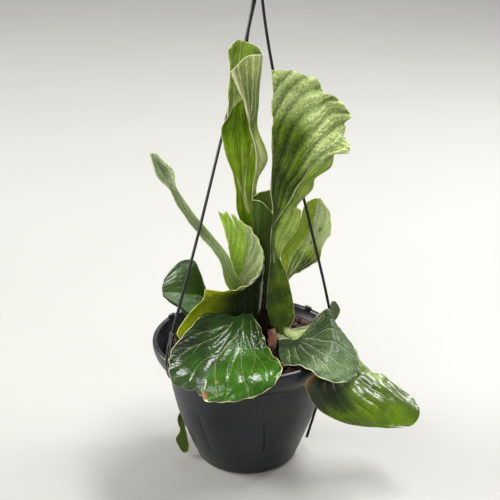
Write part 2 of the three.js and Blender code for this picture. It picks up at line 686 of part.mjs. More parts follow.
addPiece("leaf_left", seated(bladeSolid(LEFT_LEAF_ROWS, { along: 14, across: 8 })), greyPaint());
addPiece("leaf_back_right", seated(bladeSolid(BACK_LEAF_ROWS, { along: 10, across: 4 })), greyPaint());
const lowLeaf = bladeSolid(LOW_ROWS, { along: 22, across: 10, thickness: SHIELD_THICKNESS });
addPiece("leaf_low", seated(lowLeaf), glossPaint());
addPiece("leaf_hanging", seated(bladeSolid(HANGING_ROWS, { along: 24, across: 4 })), darkPaint());

function makeShield(rows, stalkRows, steps) {
  const sheet = bladeSolid(rows, { ...steps, thickness: SHIELD_THICKNESS, wave: 1.2, waves: 3 });
  const stalk = bladeSolid(stalkRows, { along: 6, across: 4, thickness: STALK_THICKNESS });
  return seated(sheet.add(stalk));
}

const frontShield = makeShield(FRONT_SHIELD_ROWS, FRONT_STALK_ROWS, { along: 15, across: 17 });
const rightShield = makeShield(RIGHT_SHIELD_ROWS, RIGHT_STALK_ROWS, { along: 14, across: 10 });
addPiece("shield_front", frontShield, glossPaint());
addPiece("shield_right", rightShield, greyPaint());

for (const [name, strand] of Object.entries({
  hanger_strand_left: LEFT_STRAND,
  hanger_strand_right: RIGHT_STRAND,
  hanger_strand_back: BACK_STRAND,
})) {
  addPiece(name, makeStrand(strand), plasticPaint());
}
addPiece("hanger_hook", makeHook(), plasticPaint());

export default part;
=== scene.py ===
"""A staghorn fern growing in a black plastic hanging pot."""

import math

import bpy
import numpy as np
from mathutils import Matrix, Vector


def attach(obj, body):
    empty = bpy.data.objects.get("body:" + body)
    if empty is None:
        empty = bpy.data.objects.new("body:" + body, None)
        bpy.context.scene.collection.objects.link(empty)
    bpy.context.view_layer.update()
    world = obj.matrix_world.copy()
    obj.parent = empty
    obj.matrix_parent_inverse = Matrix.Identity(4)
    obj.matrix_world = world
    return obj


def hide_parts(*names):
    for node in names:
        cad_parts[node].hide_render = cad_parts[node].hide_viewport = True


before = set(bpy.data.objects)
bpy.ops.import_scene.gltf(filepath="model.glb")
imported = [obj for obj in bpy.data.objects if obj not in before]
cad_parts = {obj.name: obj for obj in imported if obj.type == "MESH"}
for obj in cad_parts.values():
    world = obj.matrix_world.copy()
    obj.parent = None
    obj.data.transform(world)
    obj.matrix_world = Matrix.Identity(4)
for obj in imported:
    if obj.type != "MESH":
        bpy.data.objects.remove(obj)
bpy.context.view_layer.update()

MM = 0.001


# Camera, floor and light.
# A plain pale floor and the soft light of a large window at the left, seen from slightly above.
# The camera stands where the fern is seen from.

CAMERA_PLACE = (0, -1.07763, 0.66793)
CAMERA_PITCH = math.radians(21.73)
CAMERA_TURN = math.radians(-0.2457)
CAMERA_ROLL = math.radians(0.35)
CAMERA_LENS = 80.57
SENSOR_WIDTH = 36


def add_camera():
    level = Vector((-math.sin(CAMERA_TURN), math.cos(CAMERA_TURN), 0))
    side = Vector((math.cos(CAMERA_TURN), math.sin(CAMERA_TURN), 0))
    rise = math.sin(CAMERA_PITCH) * level + math.cos(CAMERA_PITCH) * Vector((0, 0, 1))
    ahead = math.cos(CAMERA_PITCH) * level - math.sin(CAMERA_PITCH) * Vector((0, 0, 1))
    right = math.cos(CAMERA_ROLL) * side - math.sin(CAMERA_ROLL) * rise
    up = math.sin(CAMERA_ROLL) * side + math.cos(CAMERA_ROLL) * rise
    data = bpy.data.cameras.new("camera")
    data.lens = CAMERA_LENS
    data.sensor_width = SENSOR_WIDTH
    camera = bpy.data.objects.new("camera", data)
    turned = Matrix((right, up, -ahead)).transposed().to_4x4()
    camera.matrix_world = Matrix.Translation(CAMERA_PLACE) @ turned
    bpy.context.scene.collection.objects.link(camera)
    bpy.context.scene.camera = camera


def add_light(name, place, target, width, height, power, colour):
    data = bpy.data.lights.new(name, "AREA")
    data.shape = "RECTANGLE"
    data.size = width
    data.size_y = height
    data.energy = power
    data.color = colour
    light = bpy.data.objects.new(name, data)
    light.location = place
    light.rotation_euler = (Vector(target) - Vector(place)).to_track_quat("-Z", "Y").to_euler()
    bpy.context.scene.collection.objects.link(light)


def deselect():
    if bpy.context.object and bpy.context.object.mode != "OBJECT":
        bpy.ops.object.mode_set(mode="OBJECT")
    bpy.ops.object.select_all(action="DESELECT")


def srgb(red, green, blue):
    def linear(value):
        value /= 255
        return value / 12.92 if value <= 0.04045 else ((value + 0.055) / 1.055) ** 2.4

    return (linear(red), linear(green), linear(blue), 1)


def new_finish(name, **fixed):
    finish = bpy.data.materials.new(name)
    finish.use_nodes = True
    tree = finish.node_tree
    shader = tree.nodes["Principled BSDF"]
    for socket, value in fixed.items():
        shader.inputs[socket.replace("_", " ")].default_value = value
    return finish, tree, shader


def node(tree, kind, inputs=None, **settings):
    made = tree.nodes.new("ShaderNode" + kind)
    for key, value in settings.items():
        setattr(made, key, value)
    for key, value in (inputs or {}).items():
        if isinstance(value, bpy.types.NodeSocket):
            tree.links.new(value, made.inputs[key])
        else:
            made.inputs[key].default_value = value
    return made


def coordinates(tree):
    return node(tree, "TexCoord").outputs["Object"]


def noise(tree, vector, scale, detail):
    inputs = {"Vector": vector, "Scale": scale, "Detail": detail, "Roughness": 0.55}
    return node(tree, "TexNoise", inputs).outputs["Fac"]


def math_node(tree, operation, first, second=0.0):
    return node(tree, "Math", {0: first, 1: second}, operation=operation).outputs[0]


def between(tree, value, start, end, low=0.0, high=1.0):
    inputs = {"Value": value, "From Min": start, "From Max": end, "To Min": low, "To Max": high}
    return node(tree, "MapRange", inputs, interpolation_type="SMOOTHSTEP").outputs[0]


def mix(tree, factor, first, second):
    made = node(tree, "Mix", {0: factor, 6: first, 7: second}, data_type="RGBA", clamp_factor=True)
    return made.outputs[2]


def bump(tree, height, distance, strength=1.0):
    inputs = {"Height": height, "Distance": distance, "Strength": strength}
    return node(tree, "Bump", inputs).outputs[0]


def scaled(tree, vector, factors):
    return node(tree, "Mapping", {"Vector": vector, "Scale": factors}).outputs[0]


add_camera()
deselect()
bpy.ops.mesh.primitive_plane_add(size=16, location=(0, 0, -0.0005))
floor = bpy.context.object
floor.name = "floor"
floor_finish, tree, shader = new_finish("pale_floor", Roughness=0.6)
clouds = noise(tree, coordinates(tree), 3.0, 2.0)
tint = mix(tree, clouds, srgb(150, 149, 145), srgb(155, 154, 150))
tree.links.new(tint, shader.inputs["Base Color"])
floor.data.materials.append(floor_finish)

world = bpy.data.worlds.new("soft_room_light")
world.use_nodes = True
world.node_tree.nodes["Background"].inputs["Color"].default_value = (0.94, 0.96, 1, 1)
world.node_tree.nodes["Background"].inputs["Strength"].default_value = 0.3
bpy.context.scene.world = world
bpy.context.scene.view_settings.view_transform = "Standard"
add_light("window_light", (-3.2, 0.5, 1.4), (0, 0, 0.25), 2, 1.6, 200, (1, 0.99, 0.96))
add_light("front_light", (-1.1, -3.3, 2.2), (0, 0, 0.25), 3, 2, 125, (1, 1, 1))
add_light("top_light", (1.0, 0.47, 2.16), (0, 0, 0.15), 2, 0.5, 90, (1, 1, 1))
add_light("right_light", (1.75, 1.0, 1.4), (0, 0, 0.15), 0.6, 0.4, 26, (1, 1, 1))
add_light("back_light", (0.2, 3.9, 3.2), (0, 3.6, 0), 4, 1.5, 80, (1, 1, 1))


# Pot.
# A thin bowl of black plastic, moulded in one piece with a rolled lip, a flared collar under it
# and narrow creases low on its side. It stands on its flat underside.

POT_SIDES = 360
POT_WALL_OUTSIDE = [
    (50, 0), (54, 3), (57.5, 11), (60.5, 18), (66, 33), (71, 46), (74.5, 57), (77, 67), (80, 82),
    (82.5, 96), (84.2, 111),
]
POT_COLLAR = [(85, 113.2), (89, 116.3), (93, 119.6), (96, 123.6), (98.2, 128.4), (99.3, 132.4)]
POT_LIP = [
    (99.8, 134.4), (100, 137), (99.7, 138.9), (98.7, 140.3), (97, 141), (95.3, 140.4),
    (94.3, 139), (94, 137),
]
POT_INSIDE = [
    (93, 133), (90, 126), (86, 119), (82.5, 113.6), (82, 110), (80.2, 96), (77.8, 82),
    (74.8, 67), (72.2, 57), (68.7, 46), (63.7, 33), (57.5, 16), (53, 6), (49, 2.4),
]
CREASE_ANGLES = (284, 232, 179, 125, 72, 20)
SOFT_CREASES = (232, 179)
SOFT_CREASE_SHARE = 0.3
CREASE_LEAN = 0.06
CREASE_REACH = 8
CREASE_DEPTH = 1.5
CREASE_FOOT = (28, 38)
CREASE_TOP = (74, 86)
DRAIN_RADIUS = 4
DRAIN_RING = 30
DRAIN_COUNT = 4
DRILL_LENGTH = 20
LUG_ANGLES = (43, 150)
LUG_PLACE = (95.5, 0, 140)
LUG_SIZE = (3, 9, 8)


def spline(points, count):
    """Points spread evenly along a smooth curve through the given ones."""
    points = np.asarray(points, float)
    padded = np.vstack([2 * points[0] - points[1], points, 2 * points[-1] - points[-2]])
    spans = len(points) - 1
    place = np.linspace(0, spans, count)
    span = np.minimum(place.astype(int), spans - 1)
    t = (place - span)[:, None]
    a, b, c, d = (padded[span + k] for k in range(4))
    return 0.5 * (
        2 * b + (c - a) * t + (2 * a - 5 * b + 4 * c - d) * t**2 + (3 * b - a - 3 * c + d) * t**3
    )


def pick(piece):
    """Makes a piece the active one and the only one that is selected."""
    deselect()
    piece.select_set(True)
    bpy.context.view_layer.objects.active = piece


def recalculate(piece):
    """Turns all faces of a piece outwards."""
    pick(piece)
    bpy.ops.object.mode_set(mode="EDIT")
    bpy.ops.mesh.select_all(action="SELECT")
    bpy.ops.mesh.normals_make_consistent(inside=False)
    bpy.ops.object.mode_set(mode="OBJECT")


def raise_rings(profile):
    """Extrudes the selected ring up a profile of radii and heights, as on a wheel."""
    for (radius, height), (new_radius, new_height) in zip(profile, profile[1:]):
        bpy.ops.mesh.extrude_region_move(
            TRANSFORM_OT_translate={"value": (0, 0, (new_height - height) * MM)}
        )
        factor = new_radius / radius
        centre = (0, 0, new_height * MM)
        bpy.ops.transform.resize(value=(factor, factor, 1), center_override=centre)


def turned_piece(name, profile, sides):
    """A closed turned shell. Its profile starts and ends near the axis."""
    deselect()
    radius, height = profile[0]
    bpy.ops.mesh.primitive_circle_add(
        vertices=sides, radius=radius * MM, location=(0, 0, height * MM), fill_type="NGON"
    )
    piece = bpy.context.object
    piece.name = name
    bpy.ops.object.transform_apply()
    bpy.ops.object.mode_set(mode="EDIT")
    bpy.ops.mesh.select_mode(type="EDGE")
    bpy.ops.mesh.select_all(action="SELECT")
    bpy.ops.mesh.delete(type="ONLY_FACE")
    bpy.ops.mesh.select_all(action="SELECT")
    raise_rings(profile)
    bpy.ops.mesh.edge_face_add()
    bpy.ops.mesh.select_all(action="DESELECT")
    bpy.ops.object.mode_set(mode="OBJECT")
    for edge in piece.data.edges[:sides]:
        edge.select = True
    bpy.ops.object.mode_set(mode="EDIT")
    bpy.ops.mesh.edge_face_add()
    bpy.ops.object.mode_set(mode="OBJECT")
    recalculate(piece)
    return piece


def smooth(piece, angle=40):
    pick(piece)
    bpy.ops.object.shade_smooth_by_angle(angle=math.radians(angle))


def vertices_of(piece):
    flat = np.empty(len(piece.data.vertices) * 3)
    piece.data.vertices.foreach_get("co", flat)
    return flat.reshape(-1, 3)


def set_vertices(piece, places):
    piece.data.vertices.foreach_set("co", np.asarray(places, float).ravel())
    piece.data.update()


def steps(value, start, end):
    """A soft step from 0 at start to 1 at end."""
    t = np.clip((np.asarray(value, float) - start) / (end - start), 0, 1)
    return t * t * (3 - 2 * t)


def bell(value, place, width):
    """1 where a value is at its place, falling softly to 0 on both sides."""
    return np.exp(-(((value - place) / width) ** 2))


def dent_creases(piece):
    """Draws the wall's vertices together at each crease and sinks them in, and stores painted shade
    for each slit.
    """
    places = vertices_of(piece)
    radius = np.hypot(places[:, 0], places[:, 1])
    angle = np.degrees(np.arctan2(places[:, 1], places[:, 0]))
    height = places[:, 2] / MM
    wall = np.interp(height, [h for _, h in POT_WALL_OUTSIDE], [r for r, _ in POT_WALL_OUTSIDE])
    zone = (radius / MM > wall - 1) * steps(height, 10, 22) * (1 - steps(height, 92, 108))
    depth = np.zeros(len(places))
    dark = np.zeros(len(places))
    for crease in CREASE_ANGLES:
        turn = (angle - crease - CREASE_LEAN * (60 - height) + 180) % 360 - 180
        near = np.clip(np.abs(turn) / CREASE_REACH, 0, 1)
        pull = -0.65 * turn * (1 - near) * zone
        angle += pull
        turn += pull
        sharp = SOFT_CREASE_SHARE if crease in SOFT_CREASES else 1
        slit = bell(turn, 0, 0.7) * (1 - 0.45 * steps(height, 50, 80))
        soft = 0.4 * bell(turn, 0, 5)
        part = steps(height, *CREASE_FOOT) * (1 - steps(height, *CREASE_TOP)) * zone
        depth += (sharp * slit + soft) * part
        # Painted shade: dark holds how much the finish darkens each slit.
        dark += (0.85 * sharp * slit + 0.15 * soft) * part
    radius -= depth * CREASE_DEPTH * MM
    places[:, 0] = radius * np.cos(np.radians(angle))
    places[:, 1] = radius * np.sin(np.radians(angle))
    set_vertices(piece, places)
    attribute = piece.data.attributes.new("crease", "FLOAT", "POINT")
    attribute.data.foreach_set("value", np.clip(dark, 0, 1))


def apply_modifier(piece, kind, **settings):
    pick(piece)
    modifier = piece.modifiers.new(kind.lower(), kind)
    for key, value in settings.items():
        setattr(modifier, key, value)
    bpy.ops.object.modifier_apply(modifier=modifier.name)


def cut_drain_holes(piece):
    for k in range(DRAIN_COUNT):
        angle = 2 * math.pi * (k + 0.5) / DRAIN_COUNT
        deselect()
        bpy.ops.mesh.primitive_cylinder_add(
            vertices=32,
            radius=DRAIN_RADIUS * MM,
            depth=DRILL_LENGTH * MM,
            location=(DRAIN_RING * MM * math.cos(angle), DRAIN_RING * MM * math.sin(angle), 0),
        )
        drill = bpy.context.object
        apply_modifier(piece, "BOOLEAN", operation="DIFFERENCE", object=drill, solver="EXACT")
        bpy.data.objects.remove(drill, do_unlink=True)


def add_lugs(piece):
    for angle in LUG_ANGLES:
        deselect()
        bpy.ops.mesh.primitive_cube_add(size=1, location=Vector(LUG_PLACE) * MM)
        lug = bpy.context.object
        lug.scale = Vector(LUG_SIZE) * MM
        bpy.ops.object.transform_apply()
        apply_modifier(lug, "BEVEL", width=0.8 * MM, segments=3)
        lug.rotation_euler.z = math.radians(angle)
        bpy.ops.object.transform_apply()
        piece.select_set(True)
        bpy.context.view_layer.objects.active = piece
        bpy.ops.object.join()


def charcoal_plastic(name, base, high):
    finish, tree, shader = new_finish(name, Specular_IOR_Level=0.38)
    place = coordinates(tree)
    cloud = noise(tree, place, 26.0, 4.0)
    dust = noise(tree, scaled(tree, place, (1, 1, 0.3)), 180.0, 3.0)
    tint = mix(tree, between(tree, cloud, 0.35, 0.7), base, high)
    dusty = between(tree, dust, 0.6, 0.8, 0.0, 0.12)
    tint = mix(tree, dusty, tint, srgb(96, 96, 98))
    # Painted shade: the crease share darkens the slits to near black and roughens them.
    crease = node(tree, "Attribute", attribute_name="crease").outputs["Fac"]
    tint = mix(tree, crease, tint, srgb(2, 2, 2))
    tree.links.new(tint, shader.inputs["Base Color"])
    rough = between(tree, cloud, 0.3, 0.7, 0.32, 0.44)
    rough = math_node(tree, "ADD", rough, math_node(tree, "MULTIPLY", crease, 0.4))
    tree.links.new(rough, shader.inputs["Roughness"])
    grain = noise(tree, place, 1400.0, 2.0)
    tree.links.new(bump(tree, grain, 0.00006, 0.6), shader.inputs["Normal"])
    return finish


pot_profile = [(6, 0), (28, 0)]
for outline, count in ((POT_WALL_OUTSIDE, 66), (POT_COLLAR, 16), (POT_LIP, 24), (POT_INSIDE, 40)):
    pot_profile += [tuple(place) for place in spline(outline, count)]
pot_profile += [(30, 2.2), (6, 2.2)]
pot = turned_piece("pot_shell", pot_profile, POT_SIDES)
dent_creases(pot)
cut_drain_holes(pot)
add_lugs(pot)
pot.data.materials.append(charcoal_plastic("pot_plastic", srgb(12, 13, 16), srgb(19, 21, 26)))
smooth(pot)
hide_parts("pot")
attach(pot, "root")


# Soil.
# A coarse mix of dark damp bark that fills the pot to just under its lip. The chips lie loose
# on top, pressed down round the crown.

SOIL_TOP = 127
SOIL_RINGS = (8, 20, 32, 44, 55, 65, 74, 81, 85.6)
SOIL_SIDES = 90
SOIL_WALL = [
    (86.5, 124), (85.6, 120.5), (81.6, 113), (79.5, 96), (77, 82), (74, 67), (71.4, 57), (67.9, 46),
    (62.9, 33), (56.5, 17), (48, 2.8),
]
CHIP_COUNT = 460
CHIP_SPREAD = 84
CHIP_LENGTH = (2, 5.5)
CHIP_WIDTH = (1.2, 3)
CHIP_DEPTH = (0.5, 1.3)
SOIL_SEED = 11


def drift(x, y, seed):
    """A smooth wandering value, about -1 to 1, over two coordinates."""
    rng = np.random.default_rng(seed)
    total = 0
    for octave in range(1, 5):
        a, b = rng.uniform(0.7, 1.5, 2) * octave
        p, q = rng.uniform(0, 2 * math.pi, 2)
        total = total + np.sin(a * x + p + 0.7 * np.sin(b * y)) * np.cos(b * y + q) / octave
    return total / 1.5


def soil_lift(x, y):
    """The mix lies a little higher against the wall at the back right."""
    return 1.3 * drift(x / 12, y / 12, 3) + 5.5 * steps(0.75 * x + 0.66 * y, 30, 66)


def mesh_piece(name, vertices, faces):
    mesh = bpy.data.meshes.new(name)
    mesh.from_pydata([tuple(v) for v in vertices], [], [tuple(f) for f in faces])
    piece = bpy.data.objects.new(name, mesh)
    bpy.context.scene.collection.objects.link(piece)
    return piece


def merged_piece(name, *shapes):
    """One mesh from several pairs of vertices and faces."""
    places, faces = [], []
    for more_places, more_faces in shapes:
        faces += [tuple(len(places) + i for i in face) for face in more_faces]
        places += more_places
    piece = mesh_piece(name, places, faces)
    recalculate(piece)
    return piece


def soil_body():
    around = SOIL_SIDES
    rings = [(radius, SOIL_TOP) for radius in SOIL_RINGS] + SOIL_WALL
    angles = np.linspace(0, 2 * math.pi, around, endpoint=False)
    places = [(0, 0, SOIL_TOP * MM)]
    for radius, height in rings:
        for angle in angles:
            x, y = radius * math.cos(angle), radius * math.sin(angle)
            lift = soil_lift(x, y) - 0.4 if height == SOIL_TOP else 0
            places.append((x * MM, y * MM, (height + lift) * MM))
    places.append((0, 0, SOIL_WALL[-1][1] * MM))
    faces = []
    for k in range(around):
        after = (k + 1) % around
        faces.append((0, 1 + k, 1 + after))
        for ring in range(len(rings) - 1):
            start = 1 + ring * around
            faces.append((start + k, start + around + k, start + around + after, start + after))
        start = 1 + (len(rings) - 1) * around
        faces.append((start + k, len(places) - 1, start + after))
    return places, faces


def bark_chips():
    """Flat uneven chips, turned at random and leaning a little."""
    rng = np.random.default_rng(SOIL_SEED)
    corners = np.array([(x, y, z) for z in (-1, 1) for y in (-1, 1) for x in (-1, 1)], float)
    sides = [(0, 2, 3, 1), (4, 5, 7, 6), (0, 1, 5, 4), (2, 6, 7, 3), (0, 4, 6, 2), (1, 3, 7, 5)]
    places, faces = [], []
    for _ in range(CHIP_COUNT):
        radius = CHIP_SPREAD * math.sqrt(rng.uniform(0.04, 0.97))
        angle = rng.uniform(0, 2 * math.pi)
        size = np.array([rng.uniform(*limits) for limits in (CHIP_LENGTH, CHIP_WIDTH, CHIP_DEPTH)])
        shape = (corners + rng.uniform(-0.35, 0.35, corners.shape)) * size
        turn = Matrix.Rotation(rng.uniform(0, 2 * math.pi), 3, "Z")
        lean = Matrix.Rotation(rng.normal(0, 0.35), 3, "X")
        lean = lean @ Matrix.Rotation(rng.normal(0, 0.35), 3, "Y")
        x, y = (radius - 3) * math.cos(angle), (radius - 3) * math.sin(angle)
        centre = np.array([x, y, SOIL_TOP + soil_lift(x, y) + rng.uniform(-0.2, 1.2)])
        start = len(places)
        for corner in shape:
            places.append((np.array(turn @ lean @ Vector(corner)) + centre) * MM)
        faces += [tuple(start + i for i in side) for side in sides]
    return places, faces


def bark_finish():
    finish, tree, shader = new_finish("bark_mix", Roughness=0.85, Specular_IOR_Level=0.2)
    place = coordinates(tree)
    broad = noise(tree, place, 90.0, 3.0)
    grain = noise(tree, scaled(tree, place, (1, 1, 2.5)), 700.0, 4.0)
    tint = mix(tree, between(tree, broad, 0.35, 0.68), srgb(20, 15, 12), srgb(70, 49, 38))
    tint = mix(tree, between(tree, grain, 0.5, 0.75, 0, 0.6), tint, srgb(104, 86, 70))
    tree.links.new(tint, shader.inputs["Base Color"])
    tree.links.new(bump(tree, grain, 0.0006), shader.inputs["Normal"])
    return finish


soil = merged_piece("soil_bark", soil_body(), bark_chips())
soil.data.materials.append(bark_finish())
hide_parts("soil")
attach(soil, "root")


# Crown.
# The short upright heart of the fern, matted with dark brown scales and hair roots. Every frond
# grows out of it.

CROWN_CENTRE = (19, 1)
CROWN_PROFILE = [
    (20, 120), (22, 126), (21, 138), (19, 152), (17, 166), (14, 177), (9, 185), (2, 188),
]
CROWN_SIDES = 120
CROWN_RINGS = 46
HAIR_COUNT = 420
HAIR_JOINTS = 5
HAIR_HEIGHTS = (124, 182)
HAIR_LENGTH = (4, 10)
HAIR_WIDTH = (0.25, 0.5)
CROWN_SEED = 5


def crown_surface(angle, height):
    radii, heights = zip(*CROWN_PROFILE)
    radius = np.interp(height, heights, radii)
    swell = 1 + 0.06 * np.sin(3 * angle + 0.5) + 0.04 * np.sin(7 * angle + 0.1 * height)
    return radius * swell + 1.1 * drift(3 * angle, height / 7, 8)


def crown_body():
    heights = np.linspace(CROWN_PROFILE[0][1], CROWN_PROFILE[-1][1], CROWN_RINGS)
    angles = np.linspace(0, 2 * math.pi, CROWN_SIDES, endpoint=False)
    places = []
    for height in heights:
        radius = crown_surface(angles, height)
        for angle, r in zip(angles, radius):
            x = CROWN_CENTRE[0] + r * math.cos(angle)
            y = CROWN_CENTRE[1] + r * math.sin(angle)
            places.append((x * MM, y * MM, height * MM))
    faces = []
    for ring in range(len(heights) - 1):
        low = ring * CROWN_SIDES
        high = low + CROWN_SIDES
        for k in range(CROWN_SIDES):
            after = (k + 1) % CROWN_SIDES
            faces.append((low + k, low + after, high + after, high + k))
    faces.append(tuple(reversed(range(CROWN_SIDES))))
    faces.append(tuple((len(heights) - 1) * CROWN_SIDES + k for k in range(CROWN_SIDES)))
    return places, faces


def crown_hairs():
    """Thin curved hair roots and scales that stand off the crown."""
    rng = np.random.default_rng(CROWN_SEED)
    places, faces = [], []
    for _ in range(HAIR_COUNT):
        angle = rng.uniform(0, 2 * math.pi)
        height = rng.uniform(*HAIR_HEIGHTS)
        radius = float(crown_surface(np.array([angle]), height)[0]) - 0.6
        outward = np.array([math.cos(angle), math.sin(angle), 0])
        base = np.array([CROWN_CENTRE[0], CROWN_CENTRE[1], height]) + radius * outward
        lean = np.array([-math.sin(angle), math.cos(angle), 0]) * rng.normal(0, 0.5)
        grow = outward * rng.uniform(0.25, 0.7) + lean + np.array([0, 0, rng.uniform(-0.9, 0.7)])
        grow /= np.linalg.norm(grow)
        length = rng.uniform(*HAIR_LENGTH)
        droop = np.array([0, 0, -rng.uniform(0, 2.5)])
        width = rng.uniform(*HAIR_WIDTH)
        start = len(places)
        for joint in range(HAIR_JOINTS):
            t = joint / (HAIR_JOINTS - 1)
            middle = base + grow * length * t + droop * t * t
            girth = width * (1 - 0.75 * t)
            across = np.cross(grow, outward)
            across /= np.linalg.norm(across) + 1e-9
            other = np.cross(grow, across)
            for corner in range(3):
                turn = 2 * math.pi * corner / 3
                offset = (across * math.cos(turn) + other * math.sin(turn)) * girth
                places.append((middle + offset) * MM)
        for joint in range(HAIR_JOINTS - 1):
            for corner in range(3):
                a = start + joint * 3 + corner
                b = start + joint * 3 + (corner + 1) % 3
                faces.append((a, b, b + 3, a + 3))
        faces.append((start, start + 2, start + 1))
        last = start + (HAIR_JOINTS - 1) * 3
        faces.append((last, last + 1, last + 2))
    return places, faces


def fibre_finish():
    finish, tree, shader = new_finish("crown_fibre", Roughness=0.95, Specular_IOR_Level=0.06)
    place = coordinates(tree)
    strand = noise(tree, scaled(tree, place, (1, 1, 0.18)), 900.0, 4.0)
    broad = noise(tree, place, 60.0, 3.0)
    tint = mix(tree, between(tree, strand, 0.38, 0.7), srgb(6, 5, 4), srgb(30, 23, 15))
    tint = mix(tree, between(tree, broad, 0.55, 0.8, 0, 0.5), tint, srgb(46, 34, 22))
    tree.links.new(tint, shader.inputs["Base Color"])
    tree.links.new(bump(tree, strand, 0.0009), shader.inputs["Normal"])
    return finish


crown = merged_piece("crown_heart", crown_body(), crown_hairs())
crown.data.materials.append(fibre_finish())
smooth(crown)
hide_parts("crown")
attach(crown, "root")


# Tall frond.
# An upright blade rolled into a funnel, its right half folded over to the front. Dark green
# inside, felted and pale with raised veins on the underside that the roll turns outwards.

TALL_ROWS = [
    [[8, 10, 150], [10, 13, 148], [12, 14, 147], [14, 14, 148],
     [16, 12, 150], [16, 10, 151], [15, 8, 152]],
    [[4, 15, 220], [7, 19, 217], [11, 21, 215], [14, 20, 217],
     [17, 17, 220], [17, 14, 221], [14, 12, 222]],
    [[-9, 7, 283], [-4, 11, 280], [2, 14, 278], [7, 14, 279],
     [11, 12, 284], [10, 9, 284], [7, 8, 283]],
    [[-10, 1, 309], [-5, 6, 309], [0, 10, 309], [6, 10, 311],
     [12, 7, 313], [11, 4, 312], [8, 1, 311]],
    [[-19, -14, 346], [-9, -7, 347], [3, 1, 346], [12, 3, 345],
     [22, -3, 340], [17, -9, 338], [11, -11, 339]],
    [[-23, -22, 372], [-12, -13, 375], [1, -4, 375], [7, -4, 374],
     [12, -9, 372], [9, -15, 372], [5, -18, 374]],
    [[-15, -22, 393], [-9, -12, 397], [2, -7, 398], [7, -8, 397],
     [13, -15, 397], [9, -23, 392], [2, -25, 389]],
    [[-13, -20, 418], [-8, -12, 420], [2, -8, 420], [9, -10, 420],
     [14, -18, 416], [7, -28, 410], [-2, -30, 406]],
    [[-14, -22, 440], [-8, -13, 442], [2, -9, 441], [11, -11, 439],
     [16, -20, 433], [5, -33, 429], [-8, -35, 422]],
    [[-15, -24, 453], [-6, -16, 460], [4, -10, 456], [12, -12, 453],
     [17, -20, 447], [3, -34, 448], [-13, -38, 434]],
]
LEAF_EDGE_SHARE = 0.45
LEAF_EDGE_WIDTH = 3


def blade_grid(rows, along, across):
    """Smooth points through rows that cross the blade, from the crown to the tip."""
    lines = np.stack([spline(row, across + 1) for row in rows])
    return np.stack([spline(lines[:, j], along + 1) for j in range(across + 1)], axis=1)


def even_lengths(grid):
    """Spreads the rows of a grid evenly along its middle length."""
    length = np.linalg.norm(np.diff(grid, axis=0), axis=2).mean(axis=1)
    place = np.concatenate([[0], np.cumsum(length)])
    wanted = np.linspace(0, place[-1], len(grid))
    index = np.interp(wanted, place, np.arange(len(grid)))
    low = np.minimum(index.astype(int), len(grid) - 2)
    t = (index - low)[:, None, None]
    return grid[low] * (1 - t) + grid[low + 1] * t


def grid_normals(grid):
    along = np.gradient(grid, axis=0)
    across = np.gradient(grid, axis=1)
    normal = np.cross(across, along)
    return normal / np.maximum(np.linalg.norm(normal, axis=2, keepdims=True), 1e-9)


def margin_distance(grid):
    """Distance in mm from each point to the nearest side margin or the tip."""
    widths = np.linalg.norm(np.diff(grid, axis=1), axis=2)
    left = np.concatenate([np.zeros((len(grid), 1)), np.cumsum(widths, axis=1)], axis=1)
    right = left[:, -1:] - left
    lengths = np.linalg.norm(np.diff(grid, axis=0), axis=2)
    tip = np.concatenate([np.cumsum(lengths[::-1], axis=0)[::-1], np.zeros((1, grid.shape[1]))])
    return np.minimum(np.minimum(left, right), tip)


def rib_lines(u, count, width):
    """1 on each of the ribs that run up a blade, falling to 0 between them."""
    distance = np.abs(u * count - np.round(u * count))
    return bell(distance, 0, width)


def resampled(grid, reach):
    """Shortens each column of a grid to its own share of its length."""
    rows = len(grid)
    place = np.linspace(0, 1, rows)[:, None] * reach[None, :] * (rows - 1)
    low = np.minimum(place.astype(int), rows - 2)
    t = (place - low)[..., None]
    column = np.arange(grid.shape[1])[None, :]
    return grid[low, column] * (1 - t) + grid[low + 1, column] * t


def ragged(grid, amount, waves, seed):
    """Moves the side margins in and out a little within the blade, as a grown edge."""
    rows, columns = grid.shape[:2]
    v = np.linspace(0, 1, rows)[:, None]
    u = np.linspace(0, 1, columns)[None, :]
    across = np.gradient(grid, axis=1)
    across /= np.maximum(np.linalg.norm(across, axis=2, keepdims=True), 1e-9)
    side = 2 * u - 1
    sideways = amount * np.sign(side) * side**8 * drift(v * waves, side * 3, seed)
    sideways = sideways * steps(v, 0.1, 0.3)
    return grid + across * sideways[..., None]


def blisters(a, b, seed):
    """Small domes with creases between them, one to a unit square of its two coordinates."""
    rng = np.random.default_rng(seed)
    table = rng.uniform(0.15, 0.85, (64, 64, 2))
    cell_a, cell_b = np.floor(a).astype(int), np.floor(b).astype(int)
    nearest = np.full(np.shape(a), 9.0)
    second = np.full(np.shape(a), 9.0)
    for i in (-1, 0, 1):
        for j in (-1, 0, 1):
            spot = table[(cell_a + i) % 64, (cell_b + j) % 64]
            gap = np.hypot(cell_a + i + spot[..., 0] - a, cell_b + j + spot[..., 1] - b)
            second = np.minimum(second, np.maximum(nearest, gap))
            nearest = np.minimum(nearest, gap)
    return steps(second - nearest, 0, 0.55)


def line_distance(grid, line):
    """Distance in mm from each point of a grid to a smooth line drawn through shares of it."""
    rows, columns = grid.shape[:2]
    places = spline(line, 140).clip(0, 1) * (columns - 1, rows - 1)
    j, i = np.round(places).astype(int).T
    spots = grid[i, j]
    gaps = [np.linalg.norm(grid - spot, axis=2) for spot in spots]
    return np.min(gaps, axis=0)


